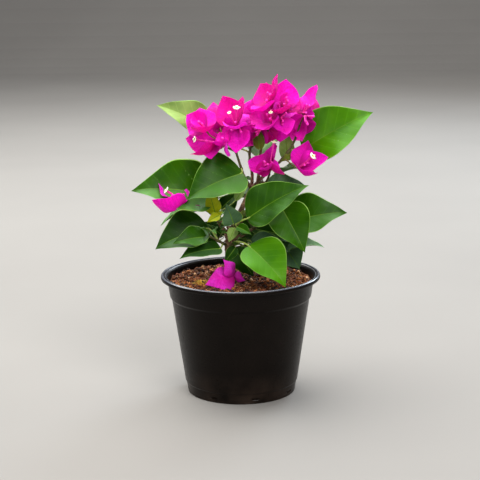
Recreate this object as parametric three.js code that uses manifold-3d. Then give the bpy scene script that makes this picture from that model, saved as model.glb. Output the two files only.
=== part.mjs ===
// Bougainvillea bush in its nursery pot.
// Millimetres, +Z up, +X to the right and +Y to the back, from the centre of the pot's flat underside.
// A heading is an angle in the XY plane from +X, and a rise an angle up from that plane, both in degrees.

import * as THREE from "three";
import { mergeVertices } from "three/addons/utils/BufferGeometryUtils.js";
import Module from "manifold-3d";

const wasm = await Module();
wasm.setup();

// Driving dimensions
const CLEAR = 0.3; // gap between two pieces that touch
const POT = {
  height: 114.5,
  rimRadius: 76,
  baseRadius: 51.6,
  wall: 1.3,
  floor: 2,
  lipHeight: 4,
  lipWidth: 4.8,
  lipRound: 0.8,
  underLip: 1.15,
  collarHeight: 22,
  collarStep: 1.3,
  footHeight: 10,
  footStep: 0.8,
  ledge: 1, // height of a step's slope
  slots: 8,
  slotTurn: 0.32, // share of the way from one slot to the next that the ring of slots is turned
  slotWidth: 6,
  slotHeight: 2,
  slotLevel: 3.4,
  segments: 40,
};
const SOIL = { level: 108, shoulder: 2, flatRadius: 17, fade: 12, lump: 1.6 };
const TRUNK = {
  foot: [-9, 3],
  top: [-8, -4, 160],
  flare: 8.5, // radii of the flared foot, of the stem above it and of its tip
  waist: 5,
  tip: 3.6,
  flareFall: 9,
  knots: [
    { at: 0.66, size: 0.9 },
    { at: 0.96, size: 0.7 },
  ],
  knotSpan: 0.07, // shares of the trunk's height
  sides: 10,
  steps: 12,
};
const BOUGH = { sides: 7, steps: 6 };
const STEM = { radius: 1.35, tipRadius: 1, sides: 5, steps: 5 };
const STALK = { arch: 0.1, footWider: 1.25, tipWider: 0.9, sides: 3, steps: 2 };

// Blades: near and far shape the outline, fold is the rise of each half from the midrib in degrees, and
// width, thick and bow are shares of the length.
const LEAF = {
  near: 0.6,
  far: 1.1,
  thick: 0.02,
  fold: 18,
  bow: 0.07,
  stalkRadius: 0.8,
  stations: [0.02, 0.16, 0.4, 0.72], // shares of its length where it has a ring
  small: 30, // a leaf shorter than this has fewer rings
  fewStations: [0.02, 0.34],
};
const BRACT = {
  near: 0.68,
  far: 1.05,
  width: 0.88,
  thick: 0.03,
  fold: 28,
  bow: -0.14,
  stalkRadius: 0.75,
  stations: [0.06, 0.4],
};
const FLORET = { radius: 0.8, sides: 4, heart: 2.2 };

// The rule that grows the leaves of the back: angles in degrees, apart and overMix in millimetres.
const RULE = {
  golden: 137.5, // turn from one leaf to the next
  along: 0.382, // share of the stem from one leaf to the next, wrapped round
  first: 0.1, // share of the stem below the lowest leaf
  reach: 13, // from the stem to a blade's foot
  lift: 20, // how much steeper the stalk rises than the blade
  width: 0.66,
  tilt: 38,
  apart: 4,
  overMix: 6,
};

const COLOURS = {
  pot: 0x17120f,
  soil: 0x6b3519,
  bark: 0x5a4030,
  leaf: 0x2f6d18,
  blossom: 0xe000a8,
};

// Vectors and curves

const vec = (p) => new THREE.Vector3(...p);
const mix = (a, b, t) => a.clone().lerp(b, t);

// Unit vector of a heading and a rise.
function aim(heading, rise) {
  const h = THREE.MathUtils.degToRad(heading);
  const r = THREE.MathUtils.degToRad(rise);
  return new THREE.Vector3(Math.cos(h) * Math.cos(r), Math.sin(h) * Math.cos(r), Math.sin(r));
}

const curveThrough = (points) => new THREE.CatmullRomCurve3(points.map(vec), false, "centripetal");

// Solids

// A closed surface of vertices and triangles as a solid.
function solidFrom(vertices, triangles) {
  const geometry = new THREE.BufferGeometry();
  const numbers = vertices.flatMap((v) => v.toArray());
  geometry.setAttribute("position", new THREE.Float32BufferAttribute(numbers, 3));
  geometry.setIndex(triangles.flat());
  return solidOf(geometry);
}

// A closed geometry as a solid: only its positions are kept, so that its shared vertices merge.
function solidOf(geometry) {
  const bare = geometry.clone();
  bare.deleteAttribute("normal");
  bare.deleteAttribute("uv");
  const merged = mergeVertices(bare, 1e-4);
  return new wasm.Manifold(
    new wasm.Mesh({
      numProp: 3,
      vertProperties: new Float32Array(merged.attributes.position.array),
      triVerts: new Uint32Array(merged.index.array),
    }),
  );
}

const joined = (solids) => solids.reduce((whole, next) => whole.add(next));

// The largest body of a solid: loose scraps and sealed hollows are left out.
function oneBody(solid) {
  return solid.decompose().sort((a, b) => b.volume() - a.volume())[0];
}

// A skin over rings of equally many vertices, closed by a fan on each end ring or point.
function skin(rings) {
  const vertices = rings.flat();
  const triangles = [];
  let start = 0;
  rings.slice(1).forEach((ring, i) => {
    const last = rings[i];
    const next = start + last.length;
    const count = Math.max(last.length, ring.length);
    for (let k = 0; k < count; k++) {
      const k2 = (k + 1) % count;
      const [a, b] = last.length > 1 ? [start + k, start + k2] : [start, start];
      const [c, d] = ring.length > 1 ? [next + k, next + k2] : [next, next];
      if (a !== b) triangles.push([a, b, d]);
      if (c !== d) triangles.push([a, d, c]);
    }
    start = next;
  });
  const first = rings[0].length;
  for (let k = 1; k + 1 < first; k++) triangles.push([0, k + 1, k]);
  const end = rings.at(-1).length;
  for (let k = 1; k + 1 < end; k++) triangles.push([start, start + k, start + k + 1]);
  return solidFrom(vertices, triangles);
}

// A tapering limb along a curve, its radius given by the share of the way along it.
function limb(curve, radiusAt, sides, steps) {
  const frames = curve.computeFrenetFrames(steps, false);
  const rings = [];
  for (let i = 0; i <= steps; i++) {
    const centre = curve.getPointAt(i / steps);
    const radius = radiusAt(i / steps);
    rings.push(
      Array.from({ length: sides }, (_, k) => {
        const turn = (2 * Math.PI * k) / sides;
        return centre
          .clone()
          .addScaledVector(frames.normals[i], radius * Math.cos(turn))
          .addScaledVector(frames.binormals[i], radius * Math.sin(turn));
      }),
    );
  }
  return skin(rings);
}

// Share of the full width at share s of a blade's length: rises as s^near, falls to the tip as (1 - s)^far.
function outline(s, near, far) {
  const widest = near / (near + far);
  return (s ** near * (1 - s) ** far) / (widest ** near * (1 - widest) ** far);
}

// The point of a blade at share s of its length and u of its half width, -1 to 1. Its midrib bows off the
// line from foot to tip along the face's normal, and each half is folded up from the midrib.
function bladePoint(blade, s, u) {
  const half = 0.5 * blade.width * outline(s, blade.near, blade.far) * u;
  const bowed = blade.length * blade.bow * Math.sin(Math.PI * s);
  const folded = Math.abs(half) * Math.tan(THREE.MathUtils.degToRad(blade.fold));
  return blade.foot
    .clone()
    .addScaledVector(blade.along, blade.length * s)
    .addScaledVector(blade.across, half)
    .addScaledVector(blade.normal, bowed + folded);
}

// A blade's own directions from where it points and which way it faces.
function bladeFrame(foot, along, facing, sizes) {
  const normal = facing.clone().addScaledVector(along, -facing.dot(along)).normalize();
  return { foot, along, normal, across: along.clone().cross(normal), ...sizes };
}

// A blade as a solid: edges sharp, thickest along the midrib.
function bladeSolid(blade, stations) {
  const depth = blade.length * blade.thick;
  const rings = stations.map((s) => {
    const rib = bladePoint(blade, s, 0);
    return [
      bladePoint(blade, s, -1),
      rib,
      bladePoint(blade, s, 1),
      rib.clone().addScaledVector(blade.normal, -depth * (1.1 - s)),
    ];
  });
  return skin([...rings, [bladePoint(blade, 1, 0)]]);
}

// Pot: a lathe-turned shell with a stepped foot, a collar and a flat lip, and drain slots low in the foot

// Outer radius of the wall at a height: a straight cone with a step at the foot and another at the collar.
function potRadius(z) {
  const steps = POT.collarStep + POT.footStep;
  const spread = POT.rimRadius - POT.lipWidth - POT.underLip - steps - POT.baseRadius;
  const foot = z > POT.footHeight ? POT.footStep : 0;
  const collar = z > POT.height - POT.collarHeight ? POT.collarStep : 0;
  return POT.baseRadius + (spread * z) / (POT.height - POT.lipHeight) + foot + collar;
}

function potProfile() {
  const { height, rimRadius, baseRadius, wall, floor, footHeight, ledge } = POT;
  const { lipHeight, lipWidth, lipRound } = POT;
  const collar = height - POT.collarHeight;
  const under = height - lipHeight;
  return [
    [0, 0],
    [baseRadius, 0],
    [potRadius(footHeight), footHeight],
    [potRadius(footHeight + ledge), footHeight + ledge],
    [potRadius(collar - ledge), collar - ledge],
    [potRadius(collar + ledge), collar + ledge],
    [potRadius(under), under],
    [rimRadius - lipRound / 2, under],
    [rimRadius, under + lipRound],
    [rimRadius, height - lipRound],
    [rimRadius - lipRound, height],
    [rimRadius - lipWidth, height],
    [potRadius(under) - wall, under],
    [potRadius(collar + ledge) - wall, collar + ledge],
    [potRadius(collar - ledge) - wall, collar - ledge],
    [potRadius(footHeight + ledge) - wall, footHeight + ledge],
    [potRadius(footHeight) - wall, footHeight],
    [baseRadius - wall, floor],
    [0, floor],
  ].map(([r, z]) => new THREE.Vector2(r, z));
}

// The lathe turns round Y, and this stands it up along Z.
const lathe = (profile, segments) => new THREE.LatheGeometry(profile, segments).rotateX(Math.PI / 2);

function pot() {
  const slotBox = new THREE.BoxGeometry(6 * POT.wall, POT.slotWidth, POT.slotHeight);
  const slots = Array.from({ length: POT.slots }, (_, k) => {
    const turn = (2 * Math.PI * (k + POT.slotTurn)) / POT.slots;
    return solidOf(
      slotBox
        .clone()
        .translate(POT.baseRadius, 0, POT.slotLevel + POT.slotHeight / 2)
        .rotateZ(turn),
    );
  });
  return solidOf(lathe(potProfile(), POT.segments)).subtract(joined(slots));
}

// Potting mix: fills the pot, its top lumpy but flat where the trunk stands

// Height of the mix above its level: crossed waves that die out towards the trunk.
function lumps(x, y) {
  const reach = Math.hypot(x - TRUNK.foot[0], y - TRUNK.foot[1]) - SOIL.flatRadius;
  const far = THREE.MathUtils.clamp(reach / SOIL.fade, 0, 1);
  const broad = Math.sin(0.23 * x + 0.9) * Math.cos(0.19 * y);
  const fine = 0.5 * Math.sin(0.47 * (x + y));
  return SOIL.lump * far * (broad + fine - 0.4);
}

function soil() {
  const bottom = POT.floor + CLEAR;
  const under = POT.height - POT.collarHeight - POT.ledge;
  const shoulder = SOIL.level - SOIL.shoulder;
  const inner = (z) => potRadius(z) - POT.wall - 2 * CLEAR;
  const across = inner(SOIL.level) - 3 * SOIL.shoulder;
  const rings = [
    [POT.baseRadius - POT.wall - 2 * CLEAR, bottom],
    [inner(under), under],
    [inner(shoulder), shoulder],
    ...[1, 0.7, 0.4, 0.1].map((share) => [across * share, SOIL.level]),
  ];
  const ringPoints = rings.map(([r, z]) =>
    Array.from({ length: POT.segments }, (_, k) => {
      const turn = (2 * Math.PI * k) / POT.segments;
      const [x, y] = [r * Math.cos(turn), r * Math.sin(turn)];
      return new THREE.Vector3(x, y, z === SOIL.level ? z + lumps(x, y) : z);
    }),
  );
  const middle = (z) => [new THREE.Vector3(0, 0, z)];
  return skin([middle(bottom), ...ringPoints, middle(SOIL.level)]);
}

// Trunk and boughs

// Trunk radius at share t of its height: the root flare falls off fast, and knots swell where shoots leave.
function trunkRadius(t) {
  const flare = (TRUNK.flare - TRUNK.waist) * Math.exp(-TRUNK.flareFall * t);
  const knots = TRUNK.knots.map(({ at, size }) => size * Math.exp(-(((t - at) / TRUNK.knotSpan) ** 2)));
  return TRUNK.waist + (TRUNK.tip - TRUNK.waist) * t + flare + knots.reduce((sum, knot) => sum + knot);
}

const TRUNK_CURVE = curveThrough([
  [...TRUNK.foot, SOIL.level + CLEAR],
  [TRUNK.foot[0] - 1.5, TRUNK.foot[1] - 2, SOIL.level + 16],
  [-10, -1, 143],
  TRUNK.top,
]);

// The trunk's rings are level, so its foot is a flat cut on the mix; extra grows its sides and its top.
function trunk(extra = 0) {
  const { sides, steps } = TRUNK;
  const rings = Array.from({ length: steps + 1 }, (_, i) => {
    const centre = TRUNK_CURVE.getPointAt(i / steps);
    if (i === steps) centre.z += extra;
    const radius = trunkRadius(i / steps) + extra;
    return Array.from({ length: sides }, (_, k) => {
      const turn = (2 * Math.PI * k) / sides;
      const lobed = radius * (1 + 0.1 * Math.exp((-6 * i) / steps) * Math.cos(4 * turn));
      return new THREE.Vector3(lobed * Math.cos(turn), lobed * Math.sin(turn), 0).add(centre);
    });
  });
  return skin(rings);
}

// Each bough: its curve and the radii of its foot and tip.
const BOUGHS = {
  middle_bough: { through: [[-8, -4, 158], [1, -4, 176], [11, 0, 197]], radii: [3, 2] },
  left_low_bough: { through: [[-9, -3, 150], [-17, -7, 161], [-22, -12, 170]], radii: [2.2, 1.5] },
  right_low_bough: { through: [[-9, -2, 146], [2, -1, 152], [12, -3, 158]], radii: [2.2, 1.5] },
  back_left_bough: { through: [[-9, 0, 143], [-15, 12, 152], [-18, 24, 160]], radii: [2.2, 1.5] },
  back_right_bough: { through: [[-8, -2, 153], [2, 9, 164], [10, 21, 172]], radii: [2.2, 1.5] },
  left_high_bough: { through: [[11, 0, 197], [6, -2, 205], [3, -4, 212]], radii: [1.7, 1.3] },
  right_high_bough: { through: [[11, 0, 197], [24, 2, 209], [38, 3, 221]], radii: [1.8, 1.3] },
  back_high_bough: { through: [[11, 0, 197], [12, 10, 207], [10, 19, 218]], radii: [1.7, 1.3] },
  top_bough: { through: [[17, 1, 202], [19, 1, 218], [20, -2, 231]], radii: [1.6, 1.2] },
};

const tipOf = (name) => BOUGHS[name].through.at(-1);

// A bough, or with extra a bough grown by that much round it and past both its ends.
function boughSolid({ through, radii }, extra = 0) {
  const [foot, afterFoot, beforeTip, tip] = [0, 1, -2, -1].map((k) => vec(through.at(k)));
  const start = foot.clone().addScaledVector(foot.clone().sub(afterFoot).normalize(), extra);
  const end = tip.clone().addScaledVector(tip.clone().sub(beforeTip).normalize(), extra);
  const curve = curveThrough([start.toArray(), ...through.slice(1, -1), end.toArray()]);
  return limb(curve, (t) => radii[0] + (radii[1] - radii[0]) * t + extra, BOUGH.sides, BOUGH.steps);
}

// Shoots: each mass of leaves and blossom is one shoot of its own, from a bough's tip or from the trunk

// A leaf: share along its shoot's stem, foot of the blade, heading, rise, length, width, tilt of its face
// from straight up towards the front, and turn of that face to the right.
const leaf = (at, foot, heading, rise, length, width, tilt = 50, turn = 0) =>
  ({ at, foot, heading, rise, length, width, tilt, turn });

// A triplet of bracts: share along the stem, its heart, the bracts' length, the heading and rise of each
// bract, the heading, rise, length and mouth radius of each floret that shows, and the way that it faces.
// A bract's way may go on with its share of the length, its turn about its own midrib, and how many times
// the usual bow it has.
const triplet = (at, heart, length, ways, florets = [], face = null) =>
  ({ at, heart, length, ways, florets, face });

const SHOOTS = {
  left_leaves: {
    stem: [tipOf("left_low_bough"), [-27, -16, 176], [-36, -20, 182], [-46, -21, 186]],
    leaves: [
      leaf(0.3, [-24, -2, 191], -166, 7, 79, 57, 52),
      leaf(0.1, [-23, -16, 176], -147, 73, 25, 15, 80),
      leaf(0.0, [-16, 1, 176], 8, 46, 22, 17, 70),
      leaf(0.0, [-19, -21, 175], -154, -22, 14, 9, 60),
      leaf(0.1, [-4, -11, 187], 14, 48, 18, 9, 62, -20),
      leaf(0.1, [-18, -6, 178], 14, 40, 21, 14, 60, -10),
      leaf(0.1, [-23, -20, 173], 8, 37, 9, 5, 60),
    ],
    blossom: [
      triplet(1, [-50, -27, 188], 31, [[-160, 12, 1.08, 58, 2.2], [154, 35, 1.11, 52], [57, -7, 0.75, 58]],
          [[-164, 35, 23, 3.2], [-156, 31, 17, 1.3]], [-150, 40]),
      triplet(1, [-53, -20, 190], 18, [[68, 33, 1, 10], [129, 34, 1, 8], [-108, 0, 1, 6]],
          [], [-100, 50]),
    ],
  },
  low_left_leaves: {
    stem: [[-11, -2, 141], [-21, -12, 149], [-28, -19, 154]],
    leaves: [
      leaf(0.6, [-30, -10, 161], -164, -17, 54, 43, 46),
      leaf(1.0, [-31, -23, 155], -156, -4, 34, 22, 48),
      leaf(0.3, [-18, -15, 142], -153, -5, 43, 26, 38),
      leaf(0.6, [-25, -12, 148], -172, 2, 18, 9, 20),
      leaf(0.5, [-16, 3, 150], 165, 34, 24, 16, 60),
    ],
    blossom: [],
  },
  front_leaves: {
    stem: [[-8, -5, 159], [-6, -13, 162], [-4, -16, 165]],
    leaves: [
      leaf(1.0, [7, -23, 172], -16, 31, 67, 40, 54),
      leaf(0.9, [-3, -21, 164], -36, -18, 18, 10, 50),
      leaf(0.6, [-6, -18, 166], -136, 66, 22, 20, 66),
      leaf(0.5, [-5, -17, 162], -134, -56, 15, 10, 70),
    ],
    blossom: [],
  },
  low_front_leaves: {
    stem: [[-10, -3, 140], [-8, -11, 145], [-5, -14, 148]],
    leaves: [
      leaf(1.0, [8, -27, 147], -38, -37, 54, 44, 62, 20),
      leaf(0.2, [-5, -8, 140], -22, -54, 31, 23, 74),
      leaf(0.5, [-4, -9, 142], -151, -48, 19, 11, 70),
    ],
    blossom: [],
  },
  right_leaves: {
    stem: [tipOf("right_low_bough"), [22, -2, 166], [32, 1, 171]],
    leaves: [
      leaf(0.8, [38, -5, 181], -48, -50, 52, 40, 62),
      leaf(1.0, [43, 9, 161], -4, 11, 60, 43, 52),
      leaf(0.0, [17, 3, 156], -7, -16, 38, 30, 42),
      leaf(0.1, [10, 9, 161], -2, -26, 32, 18, 66),
    ],
    blossom: [],
  },
  low_right_leaves: {
    stem: [[-8, -1, 139], [8, -5, 142], [24, 0, 141]],
    leaves: [
      leaf(0.3, [8, -12, 146], -9, -9, 40, 24, 44),
      leaf(1.0, [40, 8, 141], -14, -54, 30, 27, 60),
      leaf(1.0, [44, 0, 136], -7, 9, 36, 25, 12),
      leaf(0.4, [12, 6, 136], 28, -6, 46, 32, 34),
      leaf(0.3, [-5, 8, 147], 12, 24, 35, 23, 68),
    ],
    blossom: [],
  },
  left_crown: {
    stem: [tipOf("left_high_bough"), [0, -6, 222], [-3, -8, 232]],
    leaves: [
      leaf(0.2, [3, -15, 214], -153, -18, 61, 49, 50),
      leaf(1.0, [-26, 22, 250], 178, 25, 57, 31, 52),
    ],
    blossom: [
      triplet(1, [-30, -24, 255], 28, [[142, 28, 1, -14], [109, 45, 1, 23], [-109, 17, 0.9, -13]],
          [[-117, 34, 19, 1.2]], [-115, 30]),
      triplet(1, [-21, -19, 243], 30, [[163, 6, 1.03, 19], [-148, -13, 1, 44, 1.5], [-103, -25, 0.85, -18]],
          [[-149, 12, 24, 2.6], [-131, 13, 16, 1.1]], [-140, 10]),
      triplet(1, [-3, -8, 257], 31, [[135, 56, 1.05, -37], [72, 58, 1, -61], [-94, 10, 0.85, 13]],
          [[-84, 66, 20, 3.2], [-121, 50, 18, 1.7]], [-85, 45]),
      triplet(1, [0, -17, 257], 27, [[-101, -52, 1, 5], [57, -47, 0.84, -12], [136, -21, 1, 8]],
          [[-120, -4, 15, 1.2]], [-95, 15]),
      triplet(0.9, [-12, -27, 242], 17, [[-140, 18, 1, 74], [122, 38, 1, 4], [-84, -24, 1, -103]],
          [[-114, 41, 12, 1.3]], [-110, 35]),
      triplet(1, [-18, 12, 252], 29, [[112, 50], [66, 20], [160, 5]], [[110, 20, 18, 3]]),
    ],
  },
  top_crown: {
    stem: [tipOf("top_bough"), [22, -4, 243], [28, -4, 254]],
    leaves: [leaf(0.8, [19, -5, 234], 170, 84, 24, 11, 80)],
    blossom: [
      triplet(1, [28, -2, 275], 28, [[115, 43, 1, -37], [61, 64, 1.14, -63], [-119, 2, 1, 37]],
          [[-98, 54, 17, 1.2]], [-95, 50]),
      triplet(1, [30, -14, 261], 28, [[71, 40, 1, -57], [140, 11, 1, -16], [-109, -4, 1, 34]],
          [[-97, 52, 13, 1.8]], [-96, 40]),
      triplet(1, [42, 2, 270], 31, [[77, 66, 1, -1], [47, 32, 0.8, 15], [-107, 11, 0.9, 43]],
          [], [-70, 50]),
      triplet(0.8, [23, -12, 257], 27, [[132, -47, 1, -17], [78, -49, 1, -47], [126, 6, 0.9, 46]],
          [], [-130, -10]),
      triplet(0.9, [39, -8, 264], 27, [[94, -68, 1, 11], [-77, -30, 0.9, -2], [72, 34, 0.9, -13]],
          [], [-80, 0]),
      triplet(1, [32, 12, 270], 29, [[110, 50], [75, 5], [150, 0]], [[100, 20, 18, 3]]),
      triplet(0.9, [22, 9, 254], 28, [[165, 20], [75, -5], [-160, -40]]),
    ],
  },
  right_crown: {
    stem: [tipOf("right_high_bough"), [46, 4, 230], [54, 4, 246], [57, 3, 256]],
    leaves: [
      leaf(0.3, [60, 13, 231], -4, 29, 75, 50, 62),
      leaf(0.1, [46, 15, 220], 125, 80, 31, 15, 70),
      leaf(0.3, [54, 5, 229], -165, -26, 17, 9, 60),
    ],
    blossom: [
      triplet(1, [60, 4, 267], 29, [[43, 57, 1.07, -62], [44, 21, 0.5, 22], [-101, -58, 1, 76]],
          [], [-70, 35]),
      triplet(0.95, [61, -4, 265], 24, [[83, -57, 1, 22], [40, 5, 0.56, -8], [139, -47, 1, 32]],
          [[-73, -39, 12, 1.2]], [-70, -5]),
      triplet(0.1, [56, -11, 218], 28, [[56, 60, 1, -70], [-19, 23, 1.05, -34], [-61, 1, 1, 1, 1.6]],
          [[-39, 37, 20, 3.4]], [-50, 25]),
      triplet(0.9, [64, 18, 260], 28, [[70, 40], [112, 5], [80, -42]], [[80, 10, 17, 3]]),
    ],
  },
  small_blossom: {
    stem: [[18, 1, 203], [24, -7, 203], [28, -14, 212]],
    leaves: [leaf(0.1, [25, 8, 190], 14, 8, 41, 30, 40)],
    blossom: [
      triplet(1, [28, -18, 220], 26, [[76, 55, 1, -57], [144, 8, 1, -20], [-51, -7, 0.85, -63]],
          [[-52, 75, 25, 2.6], [-120, 31, 13, 1.3]], [-90, 55]),
      triplet(1, [29, -22, 220], 17, [[-127, 6, 1, 38], [157, -16, 1, -38], [63, 10, 1, 53]],
          [], [-110, 45]),
    ],
  },
  back_crown: {
    stem: [tipOf("back_high_bough"), [10, 24, 228], [14, 25, 240]],
    leaves: [
      leaf(0.1, [17, 30, 222], 62, 16, 52, 34, 40, 152),
      leaf(0.4, [2, 32, 229], 128, 4, 50, 33, 44, 218),
    ],
    blossom: [
      triplet(1, [-14, 36, 238], 28, [[165, 30], [75, 35], [120, -30]], [[118, 20, 19, 3]]),
      triplet(1, [8, 30, 252], 28, [[148, 50], [65, 60], [95, -10]], [[95, 35, 18, 2.8]]),
      triplet(0.6, [47, 32, 247], 29, [[140, 38], [70, 50], [50, -25]], [[75, 25, 19, 3]]),
    ],
  },
  back_left_leaves: {
    stem: [tipOf("back_left_bough"), [-22, 36, 170], [-22, 42, 186]],
    leaves: [],
    blossom: [],
    rule: { tries: 220, most: 11, first: 60, length: 54 },
    space: { centre: [-24, 42, 166], radii: [66, 62, 52] },
  },
  back_right_leaves: {
    stem: [tipOf("back_right_bough"), [18, 32, 180], [24, 38, 196]],
    leaves: [],
    blossom: [],
    rule: { tries: 220, most: 11, first: 0, length: 54 },
    space: { centre: [34, 42, 170], radii: [70, 64, 52] },
  },
};

// A leaf's row worked out as a blade.
function leafBlade(row) {
  const face = aim(row.turn - 90, 90 - row.tilt);
  return bladeFrame(vec(row.foot), aim(row.heading, row.rise), face, {
    ...LEAF,
    length: row.length,
    width: row.width,
  });
}

// The three blades of a triplet: each faces the way given, or else the middle of the bracts' ways, and then
// turns about its own midrib.
function tripletBlades(row) {
  const ways = row.ways.map(([heading, rise]) => aim(heading, rise));
  const middle = row.face ? aim(...row.face) : ways.reduce((sum, way) => sum.clone().add(way)).normalize();
  return ways.map((way, k) => {
    const [, , share = 1, turn = 0, bow = 1] = row.ways[k];
    const length = row.length * share;
    const facing = middle.clone().applyAxisAngle(way, THREE.MathUtils.degToRad(turn));
    return bladeFrame(vec(row.heart), way, facing, {
      ...BRACT,
      length,
      width: length * BRACT.width,
      bow: BRACT.bow * bow,
    });
  });
}

// A leaf stalk or flower stalk: it leaves the stem, arches a little and ends just inside what it carries.
function stalk(from, to, radius) {
  const { arch, footWider, tipWider, sides, steps } = STALK;
  const middle = mix(from, to, 0.55).add(new THREE.Vector3(0, 0, arch * from.distanceTo(to)));
  const curve = new THREE.CatmullRomCurve3([from, middle, to]);
  return limb(curve, (t) => radius * (footWider + (tipWider - footWider) * t), sides, steps);
}

// A tube floret that widens to its mouth.
function floret(row, [heading, rise, length, mouth]) {
  const end = vec(row.heart).addScaledVector(aim(heading, rise), length);
  const tube = new THREE.LineCurve3(vec(row.heart), end);
  return limb(tube, (t) => FLORET.radius + (mouth - FLORET.radius) * t, FLORET.sides, 1);
}

// Points spread over a blade, used to keep blades apart.
function samples(blade) {
  const [steps, sides] = [10, 3];
  const points = [];
  for (let i = 0; i <= steps; i++) {
    for (let j = -sides; j <= sides; j++) points.push(bladePoint(blade, i / steps, j / sides));
  }
  return points;
}

// True where a point lies inside an ellipsoid.
function inside(p, { centre, radii }) {
  const shares = centre.map((c, i) => (p.getComponent(i) - c) / radii[i]);
  return Math.hypot(...shares) < 1;
}

// Leaves by the rule: each next one turns by the golden angle and sits further along the stem. One whose
// blade would leave the shoot's space, reach the mix or come near what is there already is skipped.
function ruledLeaves(shoot, taken) {
  const curve = curveThrough(shoot.stem);
  const { tries, most, first, length } = shoot.rule;
  const rows = [];
  for (let k = 0; k < tries && rows.length < most; k++) {
    const at = ((k * RULE.along) % 1) * (1 - RULE.first) + RULE.first;
    const heading = first + k * RULE.golden;
    const size = length * (0.8 + 0.2 * Math.sin(1.7 * k));
    const rise = 30 * at - 20 + 8 * Math.sin(2.3 * k);
    const foot = curve.getPointAt(at).addScaledVector(aim(heading, rise + RULE.lift), RULE.reach);
    const row = leaf(at, foot.toArray(), heading, rise, size, size * RULE.width, RULE.tilt, heading + 90);
    const points = samples(leafBlade(row));
    const high = points.every((p) => p.z > SOIL.level + RULE.overMix);
    const clear = high && points.every((p) => taken.every((q) => p.distanceTo(q) > RULE.apart));
    if (clear && points.every((p) => inside(p, shoot.space))) {
      rows.push(row);
      taken.push(...points);
    }
  }
  return rows;
}

function shootSolid(shoot) {
  const curve = curveThrough(shoot.stem);
  const radiusAt = (t) => STEM.radius + (STEM.tipRadius - STEM.radius) * t;
  const solids = [limb(curve, radiusAt, STEM.sides, STEM.steps)];
  shoot.leaves.forEach((row) => {
    const blade = leafBlade(row);
    const end = bladePoint(blade, LEAF.stations[0] + 0.04, 0).addScaledVector(blade.normal, -0.3);
    solids.push(stalk(curve.getPointAt(row.at), end, LEAF.stalkRadius));
    solids.push(bladeSolid(blade, row.length < LEAF.small ? LEAF.fewStations : LEAF.stations));
  });
  shoot.blossom.forEach((row) => {
    solids.push(stalk(curve.getPointAt(row.at), vec(row.heart), BRACT.stalkRadius));
    solids.push(tripletSolid(row));
  });
  return solids;
}

function tripletSolid(row) {
  const blades = tripletBlades(row);
  const heart = solidOf(new THREE.OctahedronGeometry(FLORET.heart).translate(...row.heart));
  const bracts = blades.map((blade) => bladeSolid(blade, BRACT.stations));
  return joined([heart, ...bracts, ...row.florets.map((way) => floret(row, way))]);
}

// A spent triplet that lies on the mix at the front, its back to the viewer, cut clear of the bumps below
const SPENT_WAYS = [[-168, -17], [-168, 55, 0.66, 20], [-28, -17, 0.45, 60]];
const FALLEN = triplet(0, [-6, -27, 119], 29, SPENT_WAYS, [], [90, -37]);

// The plant and its pot

const group = new THREE.Group();

function place(name, solid, colour, roughness = 0.6) {
  const { numProp, vertProperties, triVerts } = solid.getMesh();
  const geometry = new THREE.BufferGeometry();
  geometry.setAttribute("position", new THREE.BufferAttribute(vertProperties, numProp));
  geometry.setIndex(new THREE.BufferAttribute(triVerts, 1));
  geometry.computeVertexNormals();
  const material = new THREE.MeshStandardMaterial({ color: colour, roughness, metalness: 0 });
  const mesh = new THREE.Mesh(geometry, material);
  mesh.name = name;
  group.add(mesh);
}

place("pot", pot(), COLOURS.pot, 0.35);
place("potting_mix", soil(), COLOURS.soil, 0.95);
place("trunk", trunk(), COLOURS.bark, 0.85);

// Each bough is cut back from the trunk and the boughs before it.
let wood = trunk(CLEAR);
for (const [name, bough] of Object.entries(BOUGHS)) {
  place(name, oneBody(boughSolid(bough).subtract(wood)), COLOURS.bark, 0.85);
  wood = wood.add(boughSolid(bough, CLEAR));
}

const listed = Object.values(SHOOTS).flatMap((shoot) => shoot.leaves);
const taken = listed.flatMap((row) => samples(leafBlade(row)));
for (const [name, shoot] of Object.entries(SHOOTS)) {
  if (shoot.rule) shoot.leaves = ruledLeaves(shoot, taken);
  const colour = shoot.blossom.length > 1 ? COLOURS.blossom : COLOURS.leaf;
  place(name, oneBody(joined(shootSolid(shoot)).subtract(wood)), colour);
}
const bed = soil().translate([0, 0, CLEAR]);
place("fallen_blossom", oneBody(tripletSolid(FALLEN).subtract(bed)), COLOURS.blossom);

export default group;
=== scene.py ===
"""A young bougainvillea in its nursery pot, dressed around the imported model.

Metres, +Z up, the origin under the pot. Plant sizes and places are written in millimetres and scaled by MM.
A heading is an angle in the XY plane from +X and a rise an angle up from it, both in degrees.
"""

import math
from collections import namedtuple

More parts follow.
